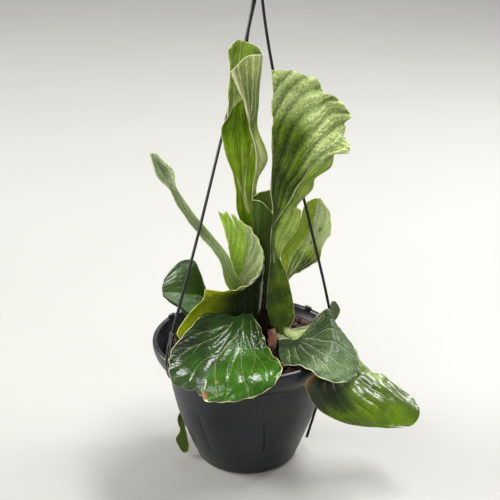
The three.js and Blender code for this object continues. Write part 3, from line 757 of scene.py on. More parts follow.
def blade(name, rows, finishes, relief=None, paint=None, flow=None, reach=None, along=150,
          across=84, thickness=1.1, margin=0.6, margin_waves=26, seed=1):
    """A leaf as a closed thin sheet. The first finish is on the side that its rows turn to."""
    grid = even_lengths(blade_grid(rows, along, across))
    grid = ragged(grid, margin, margin_waves, seed)
    v = np.linspace(0, 1, along + 1)[:, None] * np.ones((1, across + 1))
    u = np.linspace(0, 1, across + 1)[None, :] * np.ones((along + 1, 1))
    if reach:
        grid = resampled(grid, reach(u[0]))
    course = flow(u, v) if flow else u
    if relief:
        grid = grid + grid_normals(grid) * relief(u, v, course, grid)[..., None]
    rim = margin_distance(grid)
    normals = grid_normals(grid)
    thinned = LEAF_EDGE_SHARE + (1 - LEAF_EDGE_SHARE) * steps(rim, 0, LEAF_EDGE_WIDTH)
    half = 0.5 * thickness * thinned
    top = grid + normals * half[..., None]
    under = grid - normals * half[..., None]
    places = np.concatenate([top.reshape(-1, 3), under.reshape(-1, 3)]) * MM
    index = np.arange(u.size).reshape(along + 1, across + 1)
    a, b = index[:-1, :-1], index[:-1, 1:]
    c, d = index[1:, 1:], index[1:, :-1]
    upper = np.stack([a, b, c, d], axis=-1).reshape(-1, 4)
    lower = np.stack([a, d, c, b], axis=-1).reshape(-1, 4) + u.size
    loop = np.concatenate([index[0, :], index[1:, -1], index[-1, -2::-1], index[-2:0:-1, 0]])
    after = np.roll(loop, -1)
    rim_faces = np.stack([after, loop, loop + u.size, after + u.size], axis=-1)
    faces = np.concatenate([upper, lower, rim_faces])
    piece = mesh_piece(name, places, faces.tolist())
    materials = np.zeros(len(faces), int)
    materials[len(upper):len(upper) + len(lower)] = 1
    for finish in finishes:
        piece.data.materials.append(finish)
    piece.data.polygons.foreach_set("material_index", materials)
    # The share that darkens a blade towards LEAF_SHADE is painted shade, apart from the trough's
    # own dark spots. Tone also carries painted light and shade in places.
    painted = {"tone": 0.5, "bloom": 0, "age": 0, "veins": 1, "cream": 0, "deep": 0}
    painted.update(paint(u, v, course, grid) if paint else {})
    for label, parts in (
        ("blade", (course, v, rim)),
        ("paint", [painted[key] for key in ("tone", "bloom", "age")]),
        ("detail", [painted[key] for key in ("veins", "cream", "deep")]),
    ):
        values = np.stack([part + 0 * u for part in parts], axis=-1).reshape(-1, 3)
        attribute = piece.data.attributes.new(label, "FLOAT_VECTOR", "POINT")
        attribute.data.foreach_set("vector", np.concatenate([values, values]).ravel())
    smooth(piece, 60)
    return piece


# The dark green that painted shade darkens a leaf towards.
LEAF_SHADE = (14, 26, 6)


def leaf_finish(name, dark, light, bloom, vein, ribs=9, width=0.07, veins=0.8, net=0.35,
                cells=(20, 24), rough=0.5, coat=0.0, sheen=0.0, rib_height=0.0005, bumps=0.0004,
                rim=(205, 200, 150), rim_width=0.7, rim_strength=0.8, branch=0.35, wander=0.25,
                aged=(122, 82, 48), gloss=0.12):
    """Living leaf skin: ribs that fork on their way up, a net of small veins and pale bloom, with
    painted shade where the paint asks for it.
    """
    finish, tree, shader = new_finish(
        name, Coat_Weight=coat, Coat_Roughness=0.2, Sheen_Weight=sheen, Sheen_Roughness=0.45,
        Specular_IOR_Level=gloss,
    )
    dark, light, bloom, vein, rim, aged, shade = (
        srgb(*colour) for colour in (dark, light, bloom, vein, rim, aged, LEAF_SHADE)
    )

    def plus(first, second):
        return math_node(tree, "ADD", first, second)

    def times(first, second):
        return math_node(tree, "MULTIPLY", first, second)

    def parts(label):
        made = node(tree, "Attribute", attribute_name=label).outputs["Vector"]
        return made, node(tree, "SeparateXYZ", {0: made}).outputs

    facts, (course, v, margin) = parts("blade")
    _, (tone, dusting, age) = parts("paint")
    _, (vein_share, cream, deep) = parts("detail")
    place = coordinates(tree)
    mottle = noise(tree, place, 55.0, 4.0)
    fine = noise(tree, place, 520.0, 3.0)
    shaken = noise(tree, scaled(tree, facts, (4, 7, 0)), 1.0, 3.0)
    shift = between(tree, shaken, 0.2, 0.8, -wander, wander)

    def lines(count, offset, thick, start, end):
        position = plus(plus(times(course, count), shift), offset)
        line = between(tree, math_node(tree, "PINGPONG", position, 0.5), 0, thick, 1, 0)
        return times(line, between(tree, v, start, end)) if end > 0 else line

    first = lines(ribs, 0, width, 0, 0)
    second = lines(ribs, 0.5, width * 0.8, branch, branch + 0.15)
    third = lines(2 * ribs, 0.5, width * 1.2, branch + 0.3, branch + 0.45)
    ribbed = math_node(tree, "MAXIMUM", first, times(second, 0.8))
    ribbed = math_node(tree, "MAXIMUM", ribbed, times(third, 0.6))
    mesh = scaled(tree, facts, (*cells, 0))
    bent = {0: mesh, 1: noise(tree, mesh, 0.9, 2.0)}
    mesh = node(tree, "VectorMath", bent, operation="ADD").outputs[0]
    cell = node(tree, "TexVoronoi", {"Vector": mesh, "Scale": 1.0}, feature="DISTANCE_TO_EDGE")
    small = between(tree, cell.outputs["Distance"], 0, 0.09, net, 0)
    veined = math_node(tree, "MAXIMUM", ribbed, small)

    body = plus(tone, between(tree, mottle, 0.25, 0.75, -0.2, 0.2))
    body = plus(body, between(tree, fine, 0.25, 0.75, -0.08, 0.08))
    tint = mix(tree, body, dark, light)
    # Painted shade: the paint's darkening share mixes the leaf towards LEAF_SHADE.
    tint = mix(tree, deep, tint, shade)
    tint = mix(tree, times(times(veined, veins), vein_share), tint, vein)
    hazy = times(dusting, between(tree, fine, 0.3, 0.7, 0.45, 1.25))
    hazy = times(hazy, between(tree, mottle, 0.25, 0.7, 0.55, 1.2))
    tint = mix(tree, hazy, tint, bloom)
    tint = mix(tree, cream, tint, rim)
    worn = times(age, between(tree, mottle, 0.3, 0.6, 0.7, 1.3))
    tint = mix(tree, worn, tint, aged)
    tint = mix(tree, between(tree, margin, 0.15, rim_width, rim_strength, 0), tint, rim)
    tree.links.new(tint, shader.inputs["Base Color"])
    dull = plus(between(tree, mottle, 0.3, 0.7, rough - 0.06, rough + 0.08), times(veined, 0.12))
    tree.links.new(plus(dull, times(hazy, 0.2)), shader.inputs["Roughness"])
    skin = bump(tree, fine, bumps, 0.5)
    raised = node(tree, "Bump", {"Height": veined, "Distance": rib_height, "Normal": skin})
    tree.links.new(raised.outputs[0], shader.inputs["Normal"])
    return finish


TALL_FOLD = (0.795, 0.12)
TALL_CREAM_LINES = [
    [(0.42, 0.66), (0.36, 0.6), (0.335, 0.55), (0.335, 0.5), (0.36, 0.42)],
    [(0.245, 0.652), (0.25, 0.58), (0.265, 0.512), (0.385, 0.423)],
    [(0.065, 0.562), (0.2, 0.49), (0.36, 0.42)],
    [(0.22, 1), (0.23, 0.95), (0.24, 0.9)],
]
TALL_FLAP_VEINS = [
    [(0.985, 0.775), (0.965, 0.85), (0.95, 0.92), (0.93, 1)],
    [(0.98, 0.77), (0.92, 0.85), (0.88, 0.92), (0.84, 1)],
    [(0.97, 0.77), (0.88, 0.83), (0.82, 0.9), (0.78, 1)],
    [(0.93, 0.76), (0.8, 0.83), (0.75, 0.9), (0.71, 1)],
    [(0.9, 0.72), (0.84, 0.66), (0.8, 0.6), (0.76, 0.52)],
    [(0.9, 0.72), (0.78, 0.67), (0.74, 0.61), (0.7, 0.55)],
]


def drawn(grid, lines, width):
    """1 on lines drawn through shares of a grid, falling to 0 beside them."""
    return np.max([bell(line_distance(grid, line), 0, width) for line in lines], axis=0)


def wavy_margin(u, v, height, waves, lean=0):
    """Waves along both side margins that die out towards the middle."""
    return height * np.abs(2 * u - 1) ** 6 * np.sin(2 * math.pi * waves * v + lean * u)


def past_tall_fold(u, v):
    """How far a point is above the crease over which the front half folds down."""
    return v - TALL_FOLD[0] - TALL_FOLD[1] * u


def tall_relief(u, v, course, grid):
    pleats = 0.5 * np.sin(2 * math.pi * 7 * u + 1.5 * drift(3 * u, 4 * v, 21)) * steps(v, 0.25, 0.6)
    puckers = 0.5 * blisters(15 * u, 26 * v, 22) * steps(v, 0.4, 0.75) * (1 - steps(u, 0.42, 0.5))
    above = steps(past_tall_fold(u, v), 0, 0.014) * (1 - steps(v, 0.9, 0.98))
    fold = -2.2 * above * (1 - steps(u, 0.36, 0.46))
    curl = wavy_margin(u, v, 0.9, 9, 4) * steps(v, 0.15, 0.4)
    return pleats + puckers + fold + curl


def tall_paint(u, v, course, grid):
    inner = 1 - steps(u, 0.42, 0.5)
    above = steps(past_tall_fold(u, v), -0.004, 0.008)
    silver = inner * above * (1 - 0.7 * steps(v + 0.25 * u, 0.93, 1.02))
    bulge = (1 - inner) * steps(v, 0.42, 0.55) * (1 - steps(v, 0.68, 0.76)) * steps(u, 0.68, 0.8)
    lobe = inner * steps(v, 0.66, 0.74) * (1 - above)
    tone = 0.54 + 0.12 * drift(5 * u, 6 * v, 31) - 0.22 * lobe
    # Painted shade: the tone falls low inside the roll.
    tone = tone - 0.25 * inner * (1 - steps(v, 0.3, 0.6))
    # Painted light: the tone rises along the inner face's left margin.
    tone = tone + 0.3 * inner * (1 - steps(u, 0.02, 0.2)) * (1 - steps(v, 0.68, 0.74))
    tone = tone + 0.05 * inner * above
    tone = tone - 0.45 * (1 - inner) * steps(v, 0.7, 0.8) * (1 - steps(u, 0.9, 1))
    bloom = 0.5 * silver + 0.8 * bulge + 0.4 * (1 - inner) * steps(v, 0.88, 1)
    edge = bell(past_tall_fold(u, v), 0, 0.004) * (1 - steps(u, 0.3, 0.4))
    flap_edge = steps(u, 0.955, 0.985) * steps(v, 0.45, 0.55)
    cream = 0.7 * drawn(grid, TALL_CREAM_LINES, 0.6) + 0.55 * drawn(grid, TALL_FLAP_VEINS, 0.45)
    # Painted shade on the lower part of the half that folds over.
    deep = 0.5 * (1 - inner) * (1 - steps(u, 0.62, 0.7)) * (1 - steps(v, 0.4, 0.6))
    return {
        "tone": tone,
        "bloom": bloom,
        "cream": np.clip(cream + 0.6 * edge + 0.8 * flap_edge, 0, 1),
        "veins": 0.8 - 0.5 * lobe,
        "deep": deep,
    }


upper_green = leaf_finish(
    "tall_upper_skin", (54, 86, 4), (138, 172, 30), (168, 180, 124), (148, 168, 80), ribs=7,
    veins=0.4, net=0.25, cells=(16, 40),
)
under_felt = leaf_finish(
    "felted_underside", (66, 90, 4), (138, 156, 34), (174, 182, 112), (196, 206, 150), ribs=13,
    width=0.1, veins=0.5, net=0.3, cells=(16, 40), rough=0.6, sheen=0.05, rib_height=0.0009,
    rim=(214, 214, 170), rim_width=1.4,
)
tall = blade(
    "frond_tall_blade", TALL_ROWS, (upper_green, under_felt), tall_relief, tall_paint, along=210,
    across=96, seed=41,
)
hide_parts("frond_tall")
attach(tall, "root")


# Fan.
# The biggest frond: an upright blade in radiating pleats on a folded neck, light green and dusted
# with white hairs, with a broad wing at its foot and a lobed right margin.

FAN_ROWS = [
    [[24, -13, 162], [29, -20, 159], [36, -27, 156], [51, -34, 151.5], [63, -29, 161]],
    [[23.5, -13, 165], [28.5, -20, 163], [35, -27, 160.5], [42, -32, 160], [46, -32, 162]],
    [[22, -13, 175], [27, -21, 175], [34, -27, 176], [42, -30, 178], [50, -29, 176]],
    [[22, -13, 191], [26, -20, 193], [32, -26, 194], [40, -28, 195], [48, -26, 195]],
    [[24, -13, 219], [27, -18, 220], [31, -22, 220], [37, -26, 222], [42, -25, 223]],
    [[26, -13, 236], [27, -16, 236], [29, -20, 238], [31, -25, 241], [35, -24, 240]],
    [[26, -13, 252], [27, -16, 252], [28, -19, 253], [29, -25, 256], [41, -20, 253]],
    [[27, -13, 272], [28, -16, 271], [29, -19, 271], [31, -24, 272], [52, -18, 268]],
    [[28, -13, 291], [31, -16, 286], [34, -19, 285], [38, -24, 286], [56, -16, 286]],
    [[27, -12.5, 300], [31.5, -16, 295], [36, -19.5, 293], [42, -24, 293], [52.5, -17, 293]],
    [[26, -12, 308], [32, -16, 303], [38, -20, 301], [47, -24, 301], [68, -14, 308]],
    [[26, -10, 324], [34, -15, 319], [42, -19, 316], [52, -24, 314], [71, -14, 322]],
    [[27, -9, 340], [38, -15, 334], [49, -20, 329], [61, -24, 327], [86, -13, 334]],
    [[27, -8, 358], [40, -16, 353], [54, -20, 347], [69, -20, 343], [90, -10, 344]],
    [[27, -8, 376], [41, -16, 373], [57, -20, 367], [76, -15, 357], [103, -5, 345]],
    [[28, -8, 395], [43, -15, 392], [61, -17, 386], [81, -10, 374], [101, 0, 360]],
    [[28, -8, 414], [44, -13, 411], [64, -14, 405], [84, -7, 391], [101, 3, 373]],
    [[26, -8, 430], [43, -11, 431], [57, -11, 427], [75, -9, 422],
     [85, -7, 408], [98, -2, 394], [107, 4, 381]],
]
FAN_PLEATS = 5.6
FAN_BROAD_FOLD = [(0.475, 0.598), (0.515, 0.683), (0.615, 0.757), (0.755, 0.837), (0.945, 0.923)]
FAN_CREAM_LINES = [
    [(0.62, 0.44), (0.66, 0.5), (0.72, 0.58), (0.735, 0.64), (0.735, 0.72)],
    [(0.02, 0.3), (0.02, 0.5), (0.02, 0.75)],
    [(0.5, 0.3), (0.56, 0.37), (0.62, 0.44)],
]
FAN_NECK_LINES = [
    [(0.93, 0.56), (0.91, 0.47), (0.88, 0.38), (0.85, 0.31)],
    [(0.84, 0.58), (0.83, 0.47), (0.81, 0.36)],
    [(0.97, 0.52), (0.96, 0.43), (0.93, 0.34)],
]


def fan_flow(u, v):
    """The ribs leave the left margin and bend out to the top and the right."""
    return u - 3.1 * np.maximum(v - 0.55, 0) ** 2


def fan_turn(u, v, course):
    """The angle of the pleats' wave, a full turn to each pleat."""
    return 2 * math.pi * FAN_PLEATS * course + 0.9 * drift(2.5 * u, 5 * v, 51)


def fan_relief(u, v, course, grid):
    opening = steps(v, 0.4, 0.7)
    turn = fan_turn(u, v, course)
    pleats = (np.sin(turn) + 0.35 * np.sin(2 * turn + 0.8)) * (0.7 + 0.4 * drift(3 * u, 4 * v, 56))
    pleats = pleats * (1 + 0.7 * steps(v, 0.72, 0.85))
    fine_pleats = 0.2 * np.sin(3 * turn + 1.5 * drift(5 * u, 7 * v, 54))
    puckers = 1.2 * blisters(FAN_PLEATS * 3 * course + 40, 52 * v, 52) * steps(v, 0.56, 0.82)
    curl = wavy_margin(u, v, 1.2, 6, 2) * steps(v, 0.3, 0.6)
    notch = -3 * bell(v, 0.885, 0.02) * bell(u, 1, 0.16)
    foot = 0.5 * drift(9 * u, 14 * v, 53) * (1 - opening)
    broad = 1.2 * drawn(grid, [FAN_BROAD_FOLD], 5)
    return (pleats + fine_pleats) * opening + puckers + curl + notch + foot - broad


def fan_reach(u):
    return 1 - 0.006 * (1 + drift(9 * u, 0 * u + 2, 57)) - 0.022 * bell(u, 0.6, 0.09)


def fan_paint(u, v, course, grid):
    turn = fan_turn(u, v, course)
    # Painted light and shade along the pleats: pleat lightens one side of each pleat and darkens
    # the other, in the tone and the bloom.
    pleat = np.sin(turn + 0.6)
    opening = steps(v, 0.5, 0.72)
    strip = steps(u, 0.72, 0.8) * steps(v, 0.29, 0.36) * (1 - steps(v, 0.66, 0.74))
    tone = 0.1 + 0.3 * steps(v, 0.65, 0.9) + 0.12 * pleat * opening + 0.5 * strip
    tone = tone + 0.15 * steps(u, 0.3, 0.8) * steps(v, 0.6, 0.8)
    tone = tone + 0.12 * steps(u, 0.35, 0.75) * (1 - steps(v, 0.2, 0.3)) * steps(v, 0.06, 0.14)
    folds = drawn(grid, [[(0.89, 0.54), (0.87, 0.45), (0.84, 0.35)]], 2.2)
    dust = steps(v, 0.8, 0.93) + 1.3 * steps(u, 0.5, 0.8) * steps(v, 0.66, 0.82)
    bloom = np.clip(dust, 0, 1) * (0.7 + 0.2 * pleat)
    shadow = drawn(grid, [[(0.55, 0.88), (0.66, 0.92), (0.74, 0.955)]], 4)
    notch = bell(v, 0.885, 0.018) * bell(u, 1, 0.1)
    left = (1 - steps(u, 0.1, 0.6)) * (1 - steps(v, 0.6, 0.88)) * steps(v, 0.2, 0.4)
    base = (1 - steps(v, 0.22, 0.34)) * (1 - 0.35 * steps(u, 0.3, 0.8))
    tongue = steps(u, 0.6, 0.75) * (1 - steps(v, 0.03, 0.045))
    within = (1 - steps(u, 0.93, 0.97)) * steps(v, 0.006, 0.012)
    lines = drawn(grid, FAN_CREAM_LINES, 0.45)
    # Painted shade: left, shadow, notch, base and folds darken the lower left, a band near the top,
    # the notch, the foot and the neck's folds.
    deep = 0.72 * left + 0.5 * shadow + 0.7 * notch + 0.3 * base + 0.35 * folds
    return {
        "tone": tone + 0.4 * tongue,
        "bloom": np.clip(bloom + 0.12 * strip + 1.2 * tongue * (0.5 + 0.5 * within), 0, 1.3),
        "deep": np.clip(deep, 0, 1) * (1 - tongue),
        "cream": 0.55 * lines + 0.3 * drawn(grid, FAN_NECK_LINES, 0.5) * strip,
        "veins": 0.45 + 0.35 * np.maximum(opening, strip),
    }


fan_green = leaf_finish(
    "fan_upper_skin", (34, 54, 2), (130, 162, 34), (198, 212, 146), (176, 198, 98), ribs=17,
    width=0.06, veins=0.45, net=0.3, cells=(44, 60), sheen=0.05, bumps=0.0008, branch=0.5,
    gloss=0.07,
)
fan_under = leaf_finish(
    "fan_underside", (84, 106, 34), (146, 166, 90), (186, 198, 150), (204, 212, 164), ribs=13,
    net=0.4, cells=(44, 60), rough=0.6, sheen=0.05, rib_height=0.0009, branch=0.5,
)
fan = blade(
    "frond_fan_blade", FAN_ROWS, (fan_green, fan_under), fan_relief, fan_paint, fan_flow,
    fan_reach, along=270, across=140, margin_waves=12, seed=55,
)
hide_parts("frond_fan")
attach(fan, "root")


# Middle frond.
# A young dark frond, thin and leathery, rolled into an open tube. It grows out of the crown
# between the tall frond and the fan.

MIDDLE_ROWS = [
    [[24, 6, 160], [20, 8, 160], [15, 4, 160], [18, -1, 160], [23, -1, 160]],
    [[27, 6, 215], [20, 8, 216], [13, 4, 215], [19, -3, 216], [26, -3, 215]],
    [[28, 6, 255], [19, 8, 256], [9, 2, 255], [17, -6, 255], [27, -5, 253]],
    [[28, 6, 303], [13, 5, 299], [7, -2, 295], [17, -8, 294], [29, -8, 280]],
]


def middle_relief(u, v, course, grid):
    return 0.35 * drift(14 * u, 12 * v, 61) + 0.3 * np.sin(2 * math.pi * 6 * u) * steps(v, 0.3, 0.8)


def middle_paint(u, v, course, grid):
    # Painted shade, deepest at the foot towards the crown.
    return {"tone": 0.25 + 0.45 * steps(v, 0.55, 1), "deep": 0.6 * (1 - steps(v, 0.25, 0.7))}


dark_upper = leaf_finish(
    "dark_upper_skin", (20, 33, 4), (56, 76, 18), (120, 140, 90), (86, 116, 40), ribs=6,
    veins=0.35, net=0.2, rough=0.45, rim=(168, 182, 118), rim_width=1,
)
dark_under = leaf_finish(
    "dark_underside", (30, 46, 10), (76, 96, 30), (140, 156, 110), (104, 124, 62), ribs=6,
    veins=0.4, net=0.4, rough=0.55, rim=(186, 196, 138), rim_width=1.2,
)
middle = blade(
    "frond_middle_blade", MIDDLE_ROWS, (dark_upper, dark_under), middle_relief, middle_paint,
    along=90, seed=63,
)
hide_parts("frond_middle")
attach(middle, "root")


# Cup.
# A blade bent round on itself like a cup. Its low front wall runs out to a tongue on the left,
# its high back wall stands behind the arm, and its free margin is broad, pale and silvery.

CUP_ROWS = [
    [[-67, -64, 168], [-41, -46, 188], [-11, -28, 172], [5, -18, 162], [13, -11, 163],
     [11, -3, 169], [3, 0, 179], [-5, -2, 191], [-13, -6, 200]],
    [[-69, -65, 177], [-41, -47, 199], [-10, -31, 190], [8, -19, 181], [15, -11, 184],
     [12, -3, 192], [3, 1, 202], [-6, -1, 211], [-15, -6, 216]],
    [[-56, -58, 195], [-36, -48, 206], [-9, -33, 201], [9, -21, 200], [17, -12, 210],
     [13, -4, 222], [4, 1, 231], [-7, -1, 237], [-17, -7, 237]],
    [[-44, -53, 206], [-30, -47, 210], [-4, -33, 207], [14, -22, 217], [18, -14, 231],
     [12, -6, 244], [1, -1, 251], [-10, -2, 257], [-20, -8, 260]],
    [[-41, -50, 217], [-20, -43, 211], [2, -33, 214], [15, -22, 227], [17, -15, 244],
     [6, -10, 265], [-8, -6, 277], [-19, -5, 283], [-29, -8, 287]],
]
CUP_TEAR = 0.845
CUP_CREAM_LINES = [
    [(0.93, 0.14), (0.86, 0.38), (0.79, 0.62), (0.71, 0.85), (0.68, 0.97)],
    [(0.885, 0.102), (0.735, 0.387), (0.585, 0.712)],
    [(0.9, 0.15), (0.715, 0.673), (0.655, 0.902)],
    [(0.835, 0.218), (0.615, 0.592), (0.54, 0.8)],
    [(0.78, 0.12), (0.6, 0.4), (0.5, 0.62)],
    [(0.83, 0.35), (0.72, 0.55), (0.62, 0.85)],
]


def cup_flow(u, v):
    """The ribs of the crescent run out from the fold at its left end."""
    return u + steps(u, 0.45, 0.5) * (1.2 + (0.95 - u) / (v + 0.12) - u)


def past_cup_fold(u, v):
    """How far a point is behind the fold where the crescent turns into the back wall."""
    return u - 0.98 + 0.38 * v - 0.08 * v * v


def cup_relief(u, v, course, grid):
    pleats = 0.5 * np.sin(2 * math.pi * 15 * (u + 0.38 * v) + drift(4 * u, 3 * v, 71))
    pleats = pleats * steps(v, 0.2, 0.7)
    curl = 0.6 * v**6 * np.sin(2 * math.pi * 13 * u)
    beyond = past_cup_fold(u, v)
    fold = -1.8 * steps(beyond, -0.012, 0.012) * (1 - steps(beyond, 0.02, 0.16))
    fold = fold * steps(v, 0.1, 0.4)
    return pleats + curl + fold + 0.5 * blisters(40 * u, 9 * v, 72) * steps(u, 0.42, 0.5)


def cup_reach(u):
    teeth = 0.016 * np.abs(np.sin(46 * u)) * steps(u, 0.8, 0.84) + 0.003 * drift(20 * u, 0 * u, 74)
    corner = 0.03 * bell(u, 0.95, 0.03)
    return 1 - teeth - corner - 0.19 * bell(u, CUP_TEAR, 0.012)


def cup_paint(u, v, course, grid):
    back = steps(past_cup_fold(u, v), -0.01, 0.012)
    crescent = steps(u, 0.42, 0.5) * (1 - back)
    front = 1 - steps(u, 0.44, 0.5)
    left = 1 - steps(u, 0.12, 0.24)
    tone = 0.35 + 0.45 * back + 0.4 * front * left + 0.16 * drift(9 * u, 5 * v, 73)
    silver = crescent * steps(v, 0.05, 0.25)
    silver = silver + 1.5 * front * steps(v, 0.82, 0.9) * steps(u, 0.2, 0.3)
    # Painted shade over the front wall, right of its tongue.
    deep = front * steps(u, 0.1, 0.26) * (1 - 0.35 * steps(v, 0.5, 1) * (1 - steps(u, 0.2, 0.34)))
    cream = 0.75 * steps(v, 0.975, 0.995) + 0.5 * crescent * drawn(grid, CUP_CREAM_LINES, 0.9)
    return {
        "tone": tone,
        "bloom": np.clip(1.1 * silver, 0, 1),
        "deep": np.clip(1.1 * deep, 0, 1),
        "veins": 0.35 + 0.75 * crescent + 0.25 * back,
        "cream": np.clip(cream, 0, 1),
    }


cup_inside = leaf_finish(
    "cup_inside_skin", (66, 98, 8), (156, 194, 44), (158, 174, 118), (216, 222, 184), ribs=16,
    width=0.12, veins=0.6, cells=(60, 14), rim=(214, 214, 166), rim_width=1.2,
)
cup_outside = leaf_finish(
    "cup_outside_skin", (48, 62, 4), (134, 150, 14), (196, 202, 172), (126, 140, 40), ribs=17,
    veins=0.35, net=0.2, cells=(60, 14), rough=0.55, rim=(206, 206, 130), rim_width=1.1,
)
cup = blade(
    "frond_cup_blade", CUP_ROWS, (cup_outside, cup_inside), cup_relief, cup_paint, flow=cup_flow,
    reach=cup_reach, along=70, across=300, seed=75, margin=1.1, margin_waves=14,
)
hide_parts("frond_cup")
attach(cup, "root")


# Arm.
# A long narrow frond, folded lengthwise into a channel, that reaches out of the cup to the upper
# left and ends in a small folded silvery tip.

ARM_ROWS = [
    [[8, -8, 172], [10, -6, 175], [12, -7, 180]],
    [[-8, -18, 194], [-4, -15, 198], [0, -17, 203]],
    [[-20, -28, 211], [-15, -24, 216], [-10, -26, 223]],
    [[-27, -30, 240], [-22, -26, 242], [-17, -30, 244]],
    [[-44, -31, 264], [-40, -26, 268], [-34, -31, 268]],
    [[-56, -30, 280], [-53, -25, 284], [-49, -30, 287]],
    [[-67, -29, 297], [-64, -23, 301], [-59, -29, 302]],
    [[-76, -27, 315], [-74, -19, 318], [-68, -26, 317]],
    [[-87, -24, 326], [-80, -16, 331], [-70, -25, 333]],
    [[-91, -22, 339], [-87, -16, 341], [-78, -24, 341]],
    [[-94, -20, 349], [-92, -17, 349], [-87, -20, 350]],
]


def arm_relief(u, v, course, grid):
    ribs = 0.35 * np.sin(2 * math.pi * 4 * u)
    return ribs + 0.6 * blisters(7 * u, 60 * v, 81) * steps(v, 0.6, 0.85)


def arm_paint(u, v, course, grid):
    foot = 1 - steps(v, 0.22, 0.45)
    tip = steps(v, 0.72, 0.86)
    # Painted shade inside the folded tip, which also dulls the bloom there.
    inside = steps(v, 0.82, 0.88) * (1 - steps(v, 0.93, 0.98))
    inside = inside * (1 - steps(np.abs(u - 0.5), 0.14, 0.26))
    return {
        "tone": 0.35 + 0.2 * foot,
        "bloom": (0.3 * (1 - foot) + 0.5 * tip) * (1 - 0.7 * inside),
        "veins": 1 - 0.3 * foot - 0.5 * tip,
        "deep": 0.35 * inside,
    }


arm_skin = leaf_finish(
    "arm_skin", (56, 86, 8), (136, 162, 56), (182, 196, 158), (222, 228, 186), ribs=6, width=0.12,
    veins=0.85, net=0.1, cells=(6, 70), rough=0.58, sheen=0.05, rim=(190, 204, 140), branch=0.2,
)
arm = blade(
    "frond_arm_blade", ARM_ROWS, (arm_skin, arm_skin), arm_relief, arm_paint, along=220,
    across=36, seed=83, margin=0.4, margin_waves=60,
)
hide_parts("frond_arm")
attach(arm, "root")


# Trough.
# An upright leathery blade folded along its back, on the right behind the fan. It grows out of
# the crown, green inside the fold, pale and felted where its underside shows.

TROUGH_ROWS = [
    [[22, 6, 170], [25, 9, 168], [28, 9, 168], [30, 5, 170]],
    [[37, 14, 212], [41, 18, 206], [44, 19, 203], [46, 14, 199]],
    [[35, 16, 234], [43, 22, 222], [50, 22, 214], [58, 16, 206]],
    [[44, 16, 242], [50, 24, 233], [57, 25, 225], [70, 15, 216]],
    [[49, 16, 250], [55, 25, 243], [62, 27, 237], [79, 14, 222]],
    [[55, 16, 259], [60, 25, 253], [67, 28, 248], [82, 17, 238]],
    [[58, 16, 268], [64, 25, 263], [72, 28, 258], [90, 15, 252]],
    [[60, 16, 277], [67, 25, 274], [76, 28, 269], [89, 17, 267]],
    [[62, 18, 283], [70, 23, 286], [78, 25, 286], [84, 20, 281]],
]


def trough_relief(u, v, course, grid):
    pleats = 0.5 * np.sin(2 * math.pi * 7 * u + drift(3 * u, 4 * v, 91)) * steps(v, 0.3, 0.7)
    curl = 1.6 * steps(u, 0.7, 1) * np.sin(2 * math.pi * 5 * v + 1) * steps(v, 0.3, 0.5)
    return pleats + curl + 0.5 * blisters(18 * u, 22 * v, 92) * steps(v, 0.2, 0.5)


TROUGH_CREST = ([0, 0.32, 0.52, 0.65, 0.73, 0.85, 1], [0.55, 0.545, 0.56, 0.665, 0.685, 0.61, 0.56])
TROUGH_CREAM_LINES = [
    [(0.98, 0.29), (0.8, 0.36), (0.69, 0.44), (0.675, 0.543), (0.775, 0.587)],
    [(0.9, 0.33), (0.84, 0.4), (0.795, 0.468), (0.755, 0.553)],
    [(0.545, 0.322), (0.545, 0.517), (0.665, 0.647), (0.685, 0.733)],
]
TROUGH_SPOTS = [(0.825, 0.783), (0.795, 0.66), (0.84, 0.775)]


def trough_paint(u, v, course, grid):
    crest = np.interp(v, *TROUGH_CREST)
    outer = steps(u - crest, -0.01, 0.02)
    high = steps(v, 0.62, 0.7)
    patch = bell(u, 0.755, 0.05) * bell(v, 0.635, 0.055)
    # lobe and low are painted shade on the right lobe and the low outside; spots are the leaf's own
    # dark spots.
    lobe = steps(u, 0.83, 0.87) * steps(v, 0.4, 0.44) * (1 - steps(v, 0.64, 0.7))
    spots = np.max([bell(u, a, 0.024) * bell(v, b, 0.018) for a, b in TROUGH_SPOTS], axis=0)
    low = outer * (1 - steps(v, 0.52, 0.6))
    return {
        "tone": 0.75 - 0.1 * outer * high - 0.4 * low + 0.12 * drift(5 * u, 5 * v, 93),
        "bloom": np.clip(0.75 * outer * high + patch, 0, 1) * (1 - spots) * (1 - lobe),
        "veins": 0.7 + 0.3 * outer,
        "deep": np.clip(0.5 * lobe + 0.35 * low + 0.75 * spots, 0, 1),
        "cream": 0.8 * drawn(grid, TROUGH_CREAM_LINES, 0.55),
    }


trough_skin = leaf_finish(
    "trough_skin", (78, 112, 8), (160, 186, 48), (204, 212, 168), (196, 206, 150), veins=0.6,
    rough=0.56, sheen=0.05, rim=(206, 208, 160),
)
trough = blade(
    "frond_trough_blade", TROUGH_ROWS, (trough_skin, under_felt), trough_relief, trough_paint,
    along=130, across=96, seed=95, margin=0.9, margin_waves=22,
)
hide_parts("frond_trough")
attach(trough, "root")


# Left leaf.
# A small round blue-green leaf, firm and leathery. It grows out of the crown on a narrow neck
# and stands over the left of the lip.

LEFT_LEAF_ROWS = [
    [[6, 2, 171], [6, 1, 168], [6, 0, 164]],
    [[-21, -9, 188], [-21, -12, 181], [-21, -12, 173]],
    [[-38, -18, 199], [-38, -22, 190], [-37, -22, 180]],
    [[-46, -20, 221], [-48, -28, 206], [-47, -30, 179]],
    [[-53, -20, 236], [-57, -31, 213], [-57, -34, 177]],
    [[-66, -20, 235], [-68, -32, 216], [-68, -36, 188]],
    [[-78, -20, 224], [-78, -28, 212], [-78, -34, 195]],
    [[-84, -22, 215], [-86, -25, 207], [-85, -30, 200]],
]


